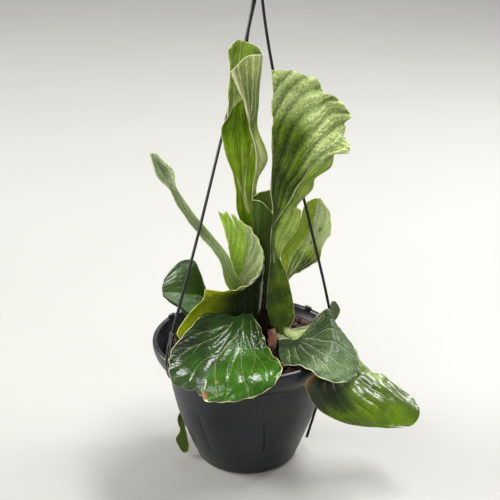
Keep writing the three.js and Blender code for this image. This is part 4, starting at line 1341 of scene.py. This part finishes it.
def left_relief(u, v, course, grid):
    ribs = 0.5 * rib_lines(u, 7, 0.16) * steps(v, 0.25, 0.5)
    return ribs + 0.5 * drift(9 * u, 10 * v, 101) * steps(v, 0.2, 0.5)


def left_paint(u, v, course, grid):
    low = steps(u - 0.75 + 0.35 * (1 - v), -0.02, 0.03) * steps(v, 0.5, 0.6)
    # last is painted shade along the lower margin.
    last = steps(u, 0.9, 0.95)
    # A painted highlight: a pale streak drawn across the upper part of the leaf towards its tip.
    painted_highlight = drawn(grid, [[(0.36, 1), (0.3, 0.92), (0.2, 0.82), (0.1, 0.72)]], 2.2)
    return {
        "tone": 0.4 + 0.2 * drift(5 * u, 6 * v, 103) + 0.1 * (1 - low),
        "bloom": np.clip(0.75 * low * (1 - last) + 0.45 * painted_highlight, 0, 1),
        "veins": 1 - 0.3 * low,
        "deep": 0.4 * last,
    }


grey_green = leaf_finish(
    "grey_green_skin", (16, 36, 4), (52, 82, 18), (124, 146, 112), (104, 126, 80), ribs=7,
    veins=0.35, net=0.25, rough=0.4, coat=0.3, rim=(164, 174, 120), rim_strength=0.6, gloss=0.06,
)
grey_under = leaf_finish(
    "grey_underside", (78, 100, 54), (132, 150, 104), (170, 182, 150), (172, 184, 140), ribs=7,
    net=0.4, rough=0.6, sheen=0.05, rib_height=0.0008,
)
left_leaf = blade(
    "leaf_left_blade", LEFT_LEAF_ROWS, (grey_under, grey_green), left_relief, left_paint,
    along=110, seed=105, margin=1.9, margin_waves=9,
)
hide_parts("leaf_left")
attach(left_leaf, "root")


# Back right leaf.
# A small pale oval leaf, thin and felted, just behind the right strand. It grows low out of the
# crown.

BACK_LEAF_ROWS = [
    [[34, 3, 139], [34, 6, 140], [34, 9, 139]],
    [[66, 6, 144], [66, 10, 145], [66, 14, 144]],
    [[83, 10, 146], [85, 13, 145], [86, 16, 144]],
    [[88, 12, 157], [92, 15, 155], [97, 16, 151]],
    [[90, 13, 167], [95, 16, 165], [101, 15, 162]],
    [[92, 14, 173], [95, 15, 173], [98, 15, 170]],
]


def back_relief(u, v, course, grid):
    return 0.25 * drift(6 * u, 12 * v, 111) - 0.25 * rib_lines(u, 4, 0.2)


def back_paint(u, v, course, grid):
    return {"tone": 0.3 + 0.2 * v, "bloom": 0.3}


back_leaf = blade(
    "leaf_back_right_blade", BACK_LEAF_ROWS, (grey_under, grey_under), back_relief, back_paint,
    along=90, across=36, seed=113, margin=0.4, margin_waves=20,
)
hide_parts("leaf_back_right")
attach(back_leaf, "root")


# Low leaf.
# A long glossy leaf, leathery and a little thicker than the fronds. It grows low out of the
# crown, crosses the lip under the right shield and spreads outside the pot.

LOW_ROWS = [
    [[34, -2, 141], [34, -5, 140], [34, -8, 140], [34, -11, 139], [33, -14, 139]],
    [[74, -8, 144], [74, -12, 144], [74, -16, 144], [74, -20, 144], [74, -24, 144]],
    [[99, -9, 146], [99, -13, 146], [99, -17, 146], [99, -20, 146], [98, -24, 145]],
    [[111, -11, 134], [109, -24, 132], [105, -36, 133], [99, -47, 135], [92, -57, 137]],
    [[119, -16, 125], [110, -38, 123], [98, -58, 123], [81, -76, 127], [62, -88, 135]],
    [[127, -18, 110], [117, -34, 109], [101, -62, 110], [82, -82, 113], [62, -90, 118]],
    [[142, -20, 103], [131, -42, 101], [115, -64, 97], [97, -80, 95], [75, -89, 98]],
    [[160, -24, 91], [151, -40, 90], [139, -58, 86], [120, -74, 81], [100, -84, 81]],
    [[176, -30, 80], [168, -42, 79], [157, -54, 75], [145, -64, 70], [129, -72, 69]],
    [[183, -40, 73], [182, -47, 68], [178, -53, 64], [171, -59, 62], [161, -63, 63]],
]


def low_flow(u, v):
    return u - 0.9 * np.maximum(v - 0.62, 0)


LOW_CREASE = [(0.27, 0.56), (0.275, 0.68), (0.34, 0.79), (0.57, 0.875), (0.76, 0.93), (1, 0.95)]


def low_relief(u, v, course, grid):
    opening = steps(v, 0.4, 0.6)
    ribs = -0.4 * rib_lines(course, 8, 0.14) * opening * (1 - steps(v, 0.8, 0.9))
    swell = 0.9 * np.abs(np.sin(math.pi * 8 * course)) * opening * (1 - steps(v, 0.78, 0.9))
    calm = 1 - 0.85 * drawn(grid, [LOW_CREASE], 9)
    swell = swell * (0.8 + 0.2 * drift(4 * u, 3 * v, 127)) * calm
    puckers = 0.06 * blisters(26 * u, 26 * v, 121) * opening * calm
    lobes = 1.5 * (1 - steps(u, 0.04, 0.16)) * np.sin(2 * math.pi * 9 * v)
    lobes = lobes * opening * (1 - steps(v, 0.7, 0.8))
    crease = -1.6 * drawn(grid, [LOW_CREASE], 3.5)
    curl = wavy_margin(u, v, 0.8, 7) * opening
    return ribs * calm + swell + puckers + lobes + crease + curl


def low_reach(u):
    return 1 - 0.05 * bell(u, 0.87, 0.05)


def low_paint(u, v, course, grid):
    # Painted shade over the front half of the leaf near the lip.
    dark = steps(u, 0.42, 0.66) * (1 - steps(v, 0.62, 0.74))
    pale = (1 - steps(u, 0.1, 0.24)) * (1 - steps(v, 0.66, 0.8))
    hurt = bell(u, 1, 0.06) * bell(v, 0.5, 0.05)
    end = (1 - steps(u, 0.3, 0.65)) * steps(v, 0.7, 0.85)
    return {
        "tone": 0.4 + 0.45 * steps(v, 0.66, 0.95) + 0.12 * drift(4 * u, 5 * v, 123) - 0.35 * end,
        "bloom": 0.75 * pale,
        "age": 0.8 * hurt,
        "deep": 0.95 * dark,
        "veins": 1 - 0.6 * dark,
    }


low_skin = leaf_finish(
    "low_leaf_skin", (10, 22, 1), (88, 116, 1), (138, 156, 104), (96, 124, 20), ribs=8, veins=0.3,
    net=0.15, rough=0.46, coat=0.6, gloss=0.05, rim=(160, 166, 100), rim_strength=0.6,
    rib_height=0.0006,
)
low_under = leaf_finish(
    "low_leaf_underside", (70, 90, 34), (128, 146, 84), (170, 182, 140), (160, 172, 120), ribs=8,
    veins=0.7, net=0.4, rough=0.6, sheen=0.05, rib_height=0.0007,
)
low_leaf = blade(
    "leaf_low_blade", LOW_ROWS, (low_skin, low_under), low_relief, low_paint, low_flow, low_reach,
    along=190, across=130, thickness=1.3, seed=125, margin=0.9, margin_waves=9,
)
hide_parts("leaf_low")
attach(low_leaf, "root")


# Hanging leaf.
# A narrow dark leathery leaf. It grows out of the crown, goes over the back left of the lip and
# hangs down beside the pot.

HANGING_ROWS = [
    [[10, 8, 146], [10, 12, 147], [11, 15, 146]],
    [[-26, 38, 146], [-24, 42, 148], [-21, 45, 146]],
    [[-55, 71, 149], [-53, 76, 151], [-49, 80, 149]],
    [[-65, 83, 140], [-62, 88, 141], [-58, 92, 139]],
    [[-76, 76, 108], [-73, 81, 108], [-69, 85, 107]],
    [[-76, 50, 72], [-76, 56, 72], [-74, 61, 71]],
    [[-61, 37, 46], [-63, 42, 44], [-63, 47, 45]],
    [[-68, 4, 33], [-73, 9, 31], [-77, 15, 33]],
    [[-66, -8, 23], [-70, -4, 21], [-74, 3, 23]],
    [[-64, -14, 14], [-72, -9, 12], [-78.5, -2, 14]],
    [[-65, -18, 8], [-70, -15, 5], [-74, -10, 7]],
]


def hanging_relief(u, v, course, grid):
    return 0.3 * drift(6 * u, 30 * v, 131)


def hanging_paint(u, v, course, grid):
    return {"tone": 0.5 + 0.25 * steps(v, 0.8, 1)}


olive_skin = leaf_finish(
    "olive_skin", (18, 26, 1), (40, 54, 3), (120, 134, 80), (104, 118, 46), ribs=5, veins=0.4,
    net=0.25, cells=(5, 60), rough=0.6, gloss=0.04, rim=(120, 130, 70), rim_strength=0.5,
)
hanging = blade(
    "leaf_hanging_blade", HANGING_ROWS, (olive_skin, olive_skin), hanging_relief, hanging_paint,
    along=170, across=30, seed=133, margin=0.5, margin_waves=30,
)
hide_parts("leaf_hanging")
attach(hanging, "root")


# Front shield.
# The big glossy shield leaf that hangs over the front of the lip on a thick short stalk. Pale ribs
# run out from its top, its margin is thin and cream, and it has a brown scar at its lower left.

FRONT_SHIELD_ROWS = [
    [[-47, -58, 189], [-36, -54, 191], [-24, -47, 189],
     [-12, -40, 181], [-2, -30, 180], [6, -25, 177]],
    [[-60, -66, 177], [-43, -62, 177], [-26, -56, 174],
     [-10, -49, 167], [4, -40, 161], [16, -30, 160]],
    [[-75, -72, 159], [-52, -78, 162], [-30, -78, 159],
     [-10, -74, 155], [8, -62, 149], [23, -46, 146]],
    [[-77, -82, 145], [-56, -96, 149], [-34, -106, 149],
     [-12, -108, 148], [11, -100, 146], [36, -84, 146]],
    [[-75, -88, 134], [-58, -102, 137], [-38, -116, 138],
     [-14, -120, 137], [9, -114, 136], [31, -103, 144]],
    [[-66, -94, 129], [-56, -101, 130], [-47, -108, 132], [-43, -118, 127], [-33, -122, 127],
     [-18, -124, 128], [3, -120, 130], [14, -116, 133], [24, -110, 137]],
]
FRONT_STALK_ROWS = [
    [[6, -12, 150], [12, -14, 149], [18, -14, 148]],
    [[4, -26, 158], [10, -25, 156], [16, -23, 154]],
    [[-2, -36, 164], [5, -35, 161], [12, -31, 158]],
]
SHIELD_HUB = (0.68, -0.06)
SHIELD_RIBS = 7
FRONT_VALLEY = ([0.4, 0.49, 0.64, 0.81, 0.89, 1], [0.45, 0.415, 0.365, 0.325, 0.335, 0.34])
SHIELD_VEINS = [
    [(0.745, 0.043), (0.675, 0.177), (0.645, 0.363), (0.655, 0.637)],
    [(0.885, 0.062), (0.795, 0.237), (0.805, 0.442), (0.745, 0.728)],
    [(0.965, 0.083), (0.915, 0.262), (0.925, 0.507), (0.995, 0.697)],
    [(0.615, 0.218), (0.495, 0.333), (0.415, 0.548), (0.415, 0.757)],
    [(0.565, 0.062), (0.435, 0.218), (0.255, 0.338), (0.195, 0.472)],
    [(0.5, 0.12), (0.3, 0.19), (0.12, 0.24)],
    [(0.805, 0.442), (0.86, 0.62), (0.89, 0.85)],
    [(0.645, 0.363), (0.58, 0.55), (0.55, 0.8), (0.56, 0.95)],
    [(0.655, 0.6), (0.68, 0.75), (0.74, 0.95)],
    [(0.45, 0.44), (0.33, 0.53), (0.26, 0.68), (0.22, 0.85)],
    [(0.255, 0.338), (0.16, 0.42), (0.06, 0.6)],
    [(0.74, 0.07), (0.62, 0.16), (0.56, 0.26), (0.45, 0.44)],
    [(0.91, 0.3), (0.84, 0.34), (0.805, 0.442)],
    [(0.415, 0.6), (0.44, 0.8), (0.5, 0.96)],
]


def front_flow(u, v):
    """The ribs run out from the top right, where the stalk joins."""
    return np.arctan2(u - SHIELD_HUB[0], 0.83 * (v - SHIELD_HUB[1])) / math.pi


def wavy_rim(u, v, height, waves):
    """Waves along the side margins and the free end of a shield leaf."""
    side = np.abs(2 * u - 1)
    return height * np.maximum(side**8, v**10) * np.sin(2 * math.pi * waves * (u + v))


def front_relief(u, v, course, grid):
    far = steps(np.hypot(u - SHIELD_HUB[0], v - SHIELD_HUB[1]), 0.1, 0.4)
    veins = 0.5 * drawn(grid, SHIELD_VEINS, 1.3)
    swell = -0.3 * np.abs(np.sin(math.pi * SHIELD_RIBS * course)) * far
    wave = 0.22 * np.sin(2 * math.pi * 17 * course + 2 * drift(3 * u, 3 * v, 148)) * far
    middle = np.interp(v, *FRONT_VALLEY)
    valley = 2.4 * bell(u, middle, 0.03) * steps(v, 0.4, 0.75)
    puckers = -0.15 * blisters(30 * course + 30, 24 * v, 142)
    return veins + swell + wave + valley + puckers + wavy_rim(u, v, 1, 6)


def front_reach(u):
    return 1 - 0.012 * (1 + drift(20 * u, 0 * u + 1, 147))


def front_paint(u, v, course, grid):
    middle = np.interp(v, *FRONT_VALLEY)
    fold = bell(u, middle, 0.045) * steps(v, 0.45, 0.65)
    # Painted shade and light: shaded is the shadow at the top under the cup, right a dark wedge at
    # the top right, left the leaf's left part and fold the valley, all darkened; lit lightens the
    # middle as painted light.
    shaded = bell(u, 0.42, 0.17) * bell(v, 0, 0.13)
    right = bell(u, 0.87, 0.1) * (1 - steps(v, 0.3, 0.5))
    lit = bell(u, 0.6, 0.2)
    left = 1 - steps(u, 0.15, 0.4)
    scar = bell(u, 0.385, 0.025) * bell(v, 0.97, 0.04)
    spot = bell(u, 0.455, 0.012) * bell(v, 0.817, 0.014)
    tone = 0.4 + 0.25 * drift(4 * u, 4 * v, 143) + 0.15 * v - 0.25 * right
    return {
        "tone": tone + 0.1 * lit - 0.25 * left,
        "bloom": 0.35 * fold,
        "deep": np.clip(0.85 * shaded + 0.4 * fold + 0.4 * right + 0.35 * left, 0, 1),
        "age": np.clip(1.3 * scar + 1.2 * spot, 0, 1),
        "veins": 0.6 - 0.4 * fold,
        "cream": (0.26 - 0.1 * steps(v, 0.3, 0.7)) * drawn(grid, SHIELD_VEINS, 0.4),
    }


gloss_skin = leaf_finish(
    "gloss_shield_skin", (8, 26, 1), (50, 96, 4), (96, 110, 92), (92, 120, 52),
    ribs=2 * SHIELD_RIBS, width=0.06, veins=0.4, net=0.25, cells=(36, 22), rough=0.44, coat=0.6,
    rim=(206, 196, 140), rim_width=1.2, gloss=0.05, rib_height=0.0003, bumps=0.0003, branch=0.3,
    wander=0.15, aged=(150, 104, 66),
)
gloss_under = leaf_finish(
    "gloss_shield_underside", (84, 104, 48), (140, 156, 100), (176, 186, 150), (176, 186, 140),
    ribs=SHIELD_RIBS, net=0.4, cells=(36, 22), rough=0.6, sheen=0.05, rim=(206, 196, 140),
    rib_height=0.0008,
)
shield = blade(
    "shield_front_blade", FRONT_SHIELD_ROWS, (gloss_under, gloss_skin), front_relief, front_paint,
    front_flow, front_reach, along=140, across=200, thickness=1.3, seed=145, margin=0.9,
    margin_waves=9,
)
stalk = blade(
    "shield_front_stalk", FRONT_STALK_ROWS, (gloss_under, gloss_under), along=30, across=20,
    thickness=2.6, margin=0, seed=146,
)
for piece in (shield, stalk):
    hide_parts("shield_front")
    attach(piece, "root")


# Right shield.
# A grey-green shield leaf, matt and lightly dusted, over the right of the lip. Fine pale ribs run
# out from where it joins its stalk.

RIGHT_SHIELD_ROWS = [
    [[34, -26, 148], [34, -30, 144], [34, -37, 140], [35, -46, 136], [38, -57, 133]],
    [[53, -24, 151], [53, -33, 147], [52, -44, 143], [51, -57, 140], [50, -71, 141]],
    [[69, -12, 160], [71, -28, 153], [70, -46, 148], [66, -64, 145], [60, -85, 145]],
    [[85, -9, 175], [89, -22, 163], [89, -43, 152], [83, -66, 145], [73, -88, 136]],
    [[94, -12, 158], [100, -24, 152], [101, -42, 145], [97, -62, 136], [88, -84, 128]],
    [[106, -22, 147], [110, -30, 141], [111, -42, 136], [108, -57, 128], [101, -72, 122]],
    [[112, -30, 138], [114, -36, 133], [116, -44, 126], [114, -52, 122], [108, -62, 119]],
]
RIGHT_STALK_ROWS = [
    [[32, -4, 146], [31, -9, 147], [30, -14, 146]],
    [[46, -22, 145], [44, -27, 144], [42, -32, 142]],
    [[55, -31, 145], [53, -36, 144], [51, -41, 142]],
]
RIGHT_RIBS = 11
RIGHT_HUB = (0.33, 0.15)
RIGHT_VEINS = [
    [(0.315, 0.218), (0.5, 0.28), (0.685, 0.373), (0.885, 0.632)],
    [(0.275, 0.252), (0.47, 0.36), (0.665, 0.493), (0.745, 0.673)],
    [(0.205, 0.278), (0.33, 0.39), (0.455, 0.502), (0.505, 0.697), (0.505, 0.877)],
    [(0.425, 0.102), (0.625, 0.117), (0.915, 0.102)],
    [(0.36, 0.17), (0.6, 0.2), (0.815, 0.257)],
    [(0.685, 0.373), (0.785, 0.417), (0.895, 0.482)],
    [(0.035, 0.25), (0.035, 0.317), (0.045, 0.468), (0.015, 0.558)],
    [(0.115, 0.28), (0.115, 0.322), (0.125, 0.482), (0.085, 0.527)],
    [(0.075, 0.27), (0.08, 0.4), (0.06, 0.54)],
    [(0.25, 0.3), (0.28, 0.45), (0.32, 0.6)],
]


def right_flow(u, v):
    """The ribs run out from the left end, where the stalk joins."""
    return np.arctan2(u - RIGHT_HUB[0], 1.2 * (v - RIGHT_HUB[1])) / math.pi


def right_relief(u, v, course, grid):
    far = steps(v, 0.05, 0.3)
    veins = -0.7 * drawn(grid, RIGHT_VEINS, 1.3)
    swell = 0.4 * np.abs(np.sin(math.pi * RIGHT_RIBS * course)) * far
    curl = wavy_rim(u, v, 0.9, 5)
    return veins + swell + curl + 0.1 * blisters(26 * course + 20, 22 * v, 151)


def right_paint(u, v, course, grid):
    # band lightens and dusts a strip at the right: partly the leaf's dusting, partly painted
    # highlight for the sheen there. shade and foot are painted shade, foot darkening the stalk end
    # under the fan's foot.
    band = steps(u, 0.6, 0.8) * steps(v, 0.35, 0.55)
    far = steps(v, 0.6, 0.75)
    shade = bell(u, 0.2, 0.16) * bell(v, 0.42, 0.12)
    foot = (1 - steps(v, 0.18, 0.27)) * (1 - steps(u, 0.28, 0.42))
    return {
        "tone": 0.4 + 0.2 * drift(4 * u, 5 * v, 153) + 0.2 * band,
        "bloom": 0.05 + 0.28 * band + 0.15 * far * (1 - band),
        "deep": np.clip(0.45 * shade + 0.8 * foot, 0, 1),
        "veins": 0.6,
        "cream": 0.32 * drawn(grid, RIGHT_VEINS, 0.45),
    }


matt_skin = leaf_finish(
    "grey_shield_skin", (12, 30, 6), (48, 76, 24), (136, 156, 118), (136, 158, 110),
    ribs=RIGHT_RIBS, width=0.05, veins=0.7, net=0.3, cells=(30, 22), rough=0.46, coat=0.12,
    rim=(204, 204, 160), rim_width=1.1, branch=0.25, wander=0.3,
)
right_shield = blade(
    "shield_right_blade", RIGHT_SHIELD_ROWS, (matt_skin, grey_under), right_relief, right_paint,
    right_flow, across=130, thickness=1.3, seed=155, margin=0.7, margin_waves=9,
)
right_stalk = blade(
    "shield_right_stalk", RIGHT_STALK_ROWS, (grey_under, grey_under), along=30, across=20,
    thickness=2.6, margin=0, seed=156,
)
for piece in (right_shield, right_stalk):
    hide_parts("shield_right")
    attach(piece, "root")


# Old leaf scrap.
# What is left of a dry shield leaf: a papery brown strip, still grown to the crown and pressed
# against it.

SCRAP_ROWS = [
    [[22, -14, 156], [26, -14, 155], [31, -12, 154]],
    [[23, -22, 151], [27, -23, 151], [32, -20, 150]],
    [[23, -27, 143], [27, -29, 142], [32, -26, 141]],
    [[24, -29, 133], [27, -31, 133], [30, -30, 133]],
]


def scrap_relief(u, v, course, grid):
    return 0.8 * drift(8 * u, 9 * v, 161)


def dry_finish():
    finish, tree, shader = new_finish("dry_leaf", Roughness=0.9)
    place = coordinates(tree)
    broad = noise(tree, place, 140.0, 4.0)
    grain = noise(tree, scaled(tree, place, (1, 1, 0.3)), 800.0, 3.0)
    tint = mix(tree, between(tree, broad, 0.35, 0.65), srgb(44, 26, 18), srgb(112, 66, 42))
    tint = mix(tree, between(tree, grain, 0.5, 0.75, 0, 0.5), tint, srgb(178, 140, 100))
    tree.links.new(tint, shader.inputs["Base Color"])
    tree.links.new(bump(tree, grain, 0.0006), shader.inputs["Normal"])
    return finish


dry_leaf = dry_finish()
scrap = blade(
    "old_leaf_scrap_sheet", SCRAP_ROWS, (dry_leaf, dry_leaf), scrap_relief, along=50, across=24,
    seed=163, margin=0.9, margin_waves=12,
)
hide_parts("old_leaf_scrap")
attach(scrap, "root")


# Hanger.
# Three stiff strands of black plastic, each moulded in one piece with a flat slotted clip that
# hooks over and under the lip, and a hub with a hook that their tops are pressed into.

STRAND_RADIUS = 1.5
CLIP_WIDTH = 6.4
CLIP_THICKNESS = 2
CLIP_SLOT_ROWS = range(8, 20)
CLIP_SLOT_COLUMNS = range(3, 5)
CLIP_FOOT = [(101.5, 143), (101.6, 134), (99.8, 125), (96.2, 119.4), (93.4, 116.6)]
HUB = (14, 20, 512)
HUB_HOLE_RING = 4
ROD_BEND_BELOW = 12
ROD_END_ABOVE = 5
STRANDS = {
    "left": {
        "angle": 218,
        "upper": [(94.5, 172), (97, 163), (99.5, 153)],
        "middle": [(-48, -39, 267), (-23, -14, 362), (2, 9, 456)],
        "top": 200,
    },
    "right": {
        "angle": 1,
        "upper": [(92, 156), (95, 150), (98.5, 146.5)],
        "middle": [(81, 4, 205), (61, 9, 288), (28, 17, 426)],
        "top": 330,
        "tail": [(94.5, 1.5, 118), (90.5, 2, 108), (78, 5, 54), (67, 9, 9)],
    },
    "back": {
        "angle": 94,
        "upper": [(94.5, 162), (97, 156), (99.5, 149)],
        "middle": [(-4, 84, 220), (-1, 62, 330), (3, 31, 450)],
        "top": 110,
    },
}


def chord_spline(points, count):
    """Even points along a smooth curve whose pace follows the spacing of the given ones."""
    points = np.asarray(points, float)
    gaps = np.linalg.norm(np.diff(points, axis=0), axis=1)
    knots = np.concatenate([[0], np.cumsum(np.sqrt(gaps))])
    padded = np.vstack([2 * points[0] - points[1], points, 2 * points[-1] - points[-2]])
    knots = np.concatenate([[2 * knots[0] - knots[1]], knots, [2 * knots[-1] - knots[-2]]])
    result = []
    for t in np.linspace(knots[1], knots[-2], count):
        k = int(np.clip(np.searchsorted(knots, t, "right") - 1, 1, len(points) - 1))
        p, s = padded[k - 1:k + 3], knots[k - 1:k + 3]

        def blend_points(a, b, i, j):
            return (s[j] - t) / (s[j] - s[i]) * a + (t - s[i]) / (s[j] - s[i]) * b

        a1, a2, a3 = (blend_points(p[i], p[i + 1], i, i + 1) for i in range(3))
        b1, b2 = blend_points(a1, a2, 0, 2), blend_points(a2, a3, 1, 3)
        result.append(blend_points(b1, b2, 1, 2))
    return np.array(result)


def rod(name, points, radius, count=60):
    curve = bpy.data.curves.new(name, "CURVE")
    curve.dimensions = "3D"
    curve.bevel_depth = radius * MM
    curve.bevel_resolution = 5
    curve.use_fill_caps = True
    line = curve.splines.new("POLY")
    places = chord_spline(points, count)
    line.points.add(len(places) - 1)
    for point, place in zip(line.points, places):
        point.co = (*(place * MM), 1)
    piece = bpy.data.objects.new(name, curve)
    bpy.context.scene.collection.objects.link(piece)
    pick(piece)
    bpy.ops.object.convert(target="MESH")
    return bpy.context.object


def clip(name, upper):
    """A flat band bent round the lip, with a long slot in its upper half."""
    line = spline(list(upper) + CLIP_FOOT, 40)
    along = np.gradient(line, axis=0)
    along /= np.linalg.norm(along, axis=1, keepdims=True)
    outward = np.stack([-along[:, 1], along[:, 0]], axis=1)
    columns = np.linspace(-0.5, 0.5, 9) * CLIP_WIDTH
    places, faces = [], []
    for side in (0.5, -0.5):
        for (radius, height), out in zip(line, outward):
            for y in columns:
                places.append(((radius + side * CLIP_THICKNESS * out[0]) * MM, y * MM,
                               (height + side * CLIP_THICKNESS * out[1]) * MM))
    rows, width = len(line), len(columns)
    index = np.arange(2 * rows * width).reshape(2, rows, width)
    for i in range(rows - 1):
        for j in range(width - 1):
            if i in CLIP_SLOT_ROWS and j in CLIP_SLOT_COLUMNS:
                continue
            for layer, flip in ((0, 1), (1, -1)):
                ring = [index[layer, i, j], index[layer, i, j + 1], index[layer, i + 1, j + 1],
                        index[layer, i + 1, j]]
                faces.append(tuple(ring[::flip]))
    edge_uses = {}
    for face in faces:
        for a, b in zip(face, face[1:] + face[:1]):
            edge = tuple(sorted((a, b)))
            edge_uses[edge] = edge_uses.get(edge, 0) + 1
    layer_size = rows * width
    for (a, b), count in edge_uses.items():
        if count == 1 and a < layer_size and b < layer_size:
            faces.append((a, b, b + layer_size, a + layer_size))
    piece = mesh_piece(name, places, faces)
    recalculate(piece)
    apply_modifier(piece, "BEVEL", width=0.35 * MM, segments=2, limit_method="ANGLE")
    return piece


def join(pieces, name):
    deselect()
    for piece in pieces:
        piece.select_set(True)
    bpy.context.view_layer.objects.active = pieces[0]
    bpy.ops.object.join()
    pieces[0].name = name
    return pieces[0]


def strand(side, angle, upper, middle, top, tail=None):
    turn = math.radians(angle)

    def on_clip(radius, height):
        return (radius * math.cos(turn), radius * math.sin(turn), height)

    band = clip("clip_" + side, upper)
    band.rotation_euler.z = turn
    pick(band)
    bpy.ops.object.transform_apply()
    end = math.radians(top)
    hole = (HUB[0] + HUB_HOLE_RING * math.cos(end), HUB[1] + HUB_HOLE_RING * math.sin(end))
    start = on_clip((upper[0][0] + upper[1][0]) / 2, (upper[0][1] + upper[1][1]) / 2)
    points = [start, on_clip(*upper[0]), *middle, (*hole, HUB[2] - ROD_BEND_BELOW),
              (*hole, HUB[2] + ROD_END_ABOVE)]
    parts = [rod("rod_" + side, points, STRAND_RADIUS), band]
    if tail:
        parts.append(rod("tail_" + side, tail, STRAND_RADIUS, 24))
    return join(parts, "hanger_" + side)


strand_plastic = charcoal_plastic("hanger_plastic", srgb(8, 8, 9), srgb(16, 16, 18))
for side, sizes in STRANDS.items():
    piece = strand(side, **sizes)
    piece.data.materials.clear()
    piece.data.materials.append(strand_plastic)
    smooth(piece)
    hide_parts("hanger_strand_" + side)
    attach(piece, "root")

HUB_PROFILE = [
    (2, 0), (8, 0), (8.5, 0.6), (8.5, 2), (8.1, 2.6), (7.7, 11), (7.5, 13), (6.8, 14), (2, 14),
]
HOOK_RADIUS = 14
HOOK_ROD_RADIUS = 2.2
HOOK_FOOT = 11
HOOK_SHANK = 20
HOOK_NECK = 6

hub = turned_piece("hub", HUB_PROFILE, 64)
pick(hub)
hub.location = tuple(value * MM for value in HUB)
bpy.ops.object.transform_apply()
hook_centre = HUB[2] + HOOK_SHANK + HOOK_RADIUS + HOOK_NECK
hook_path = [(HUB[0], HUB[1], HUB[2] + height) for height in (HOOK_FOOT, HOOK_SHANK)]
for turn in range(-70, 191, 20):
    bend = math.radians(turn)
    hook_path.append(
        (HUB[0] + HOOK_RADIUS * math.cos(bend), HUB[1], hook_centre + HOOK_RADIUS * math.sin(bend))
    )
hook = join([rod("hook", hook_path, HOOK_ROD_RADIUS, 90), hub], "hanger_top_hook")
hook.data.materials.clear()
hook.data.materials.append(strand_plastic)
smooth(hook)
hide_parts("hanger_hook")
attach(hook, "root")
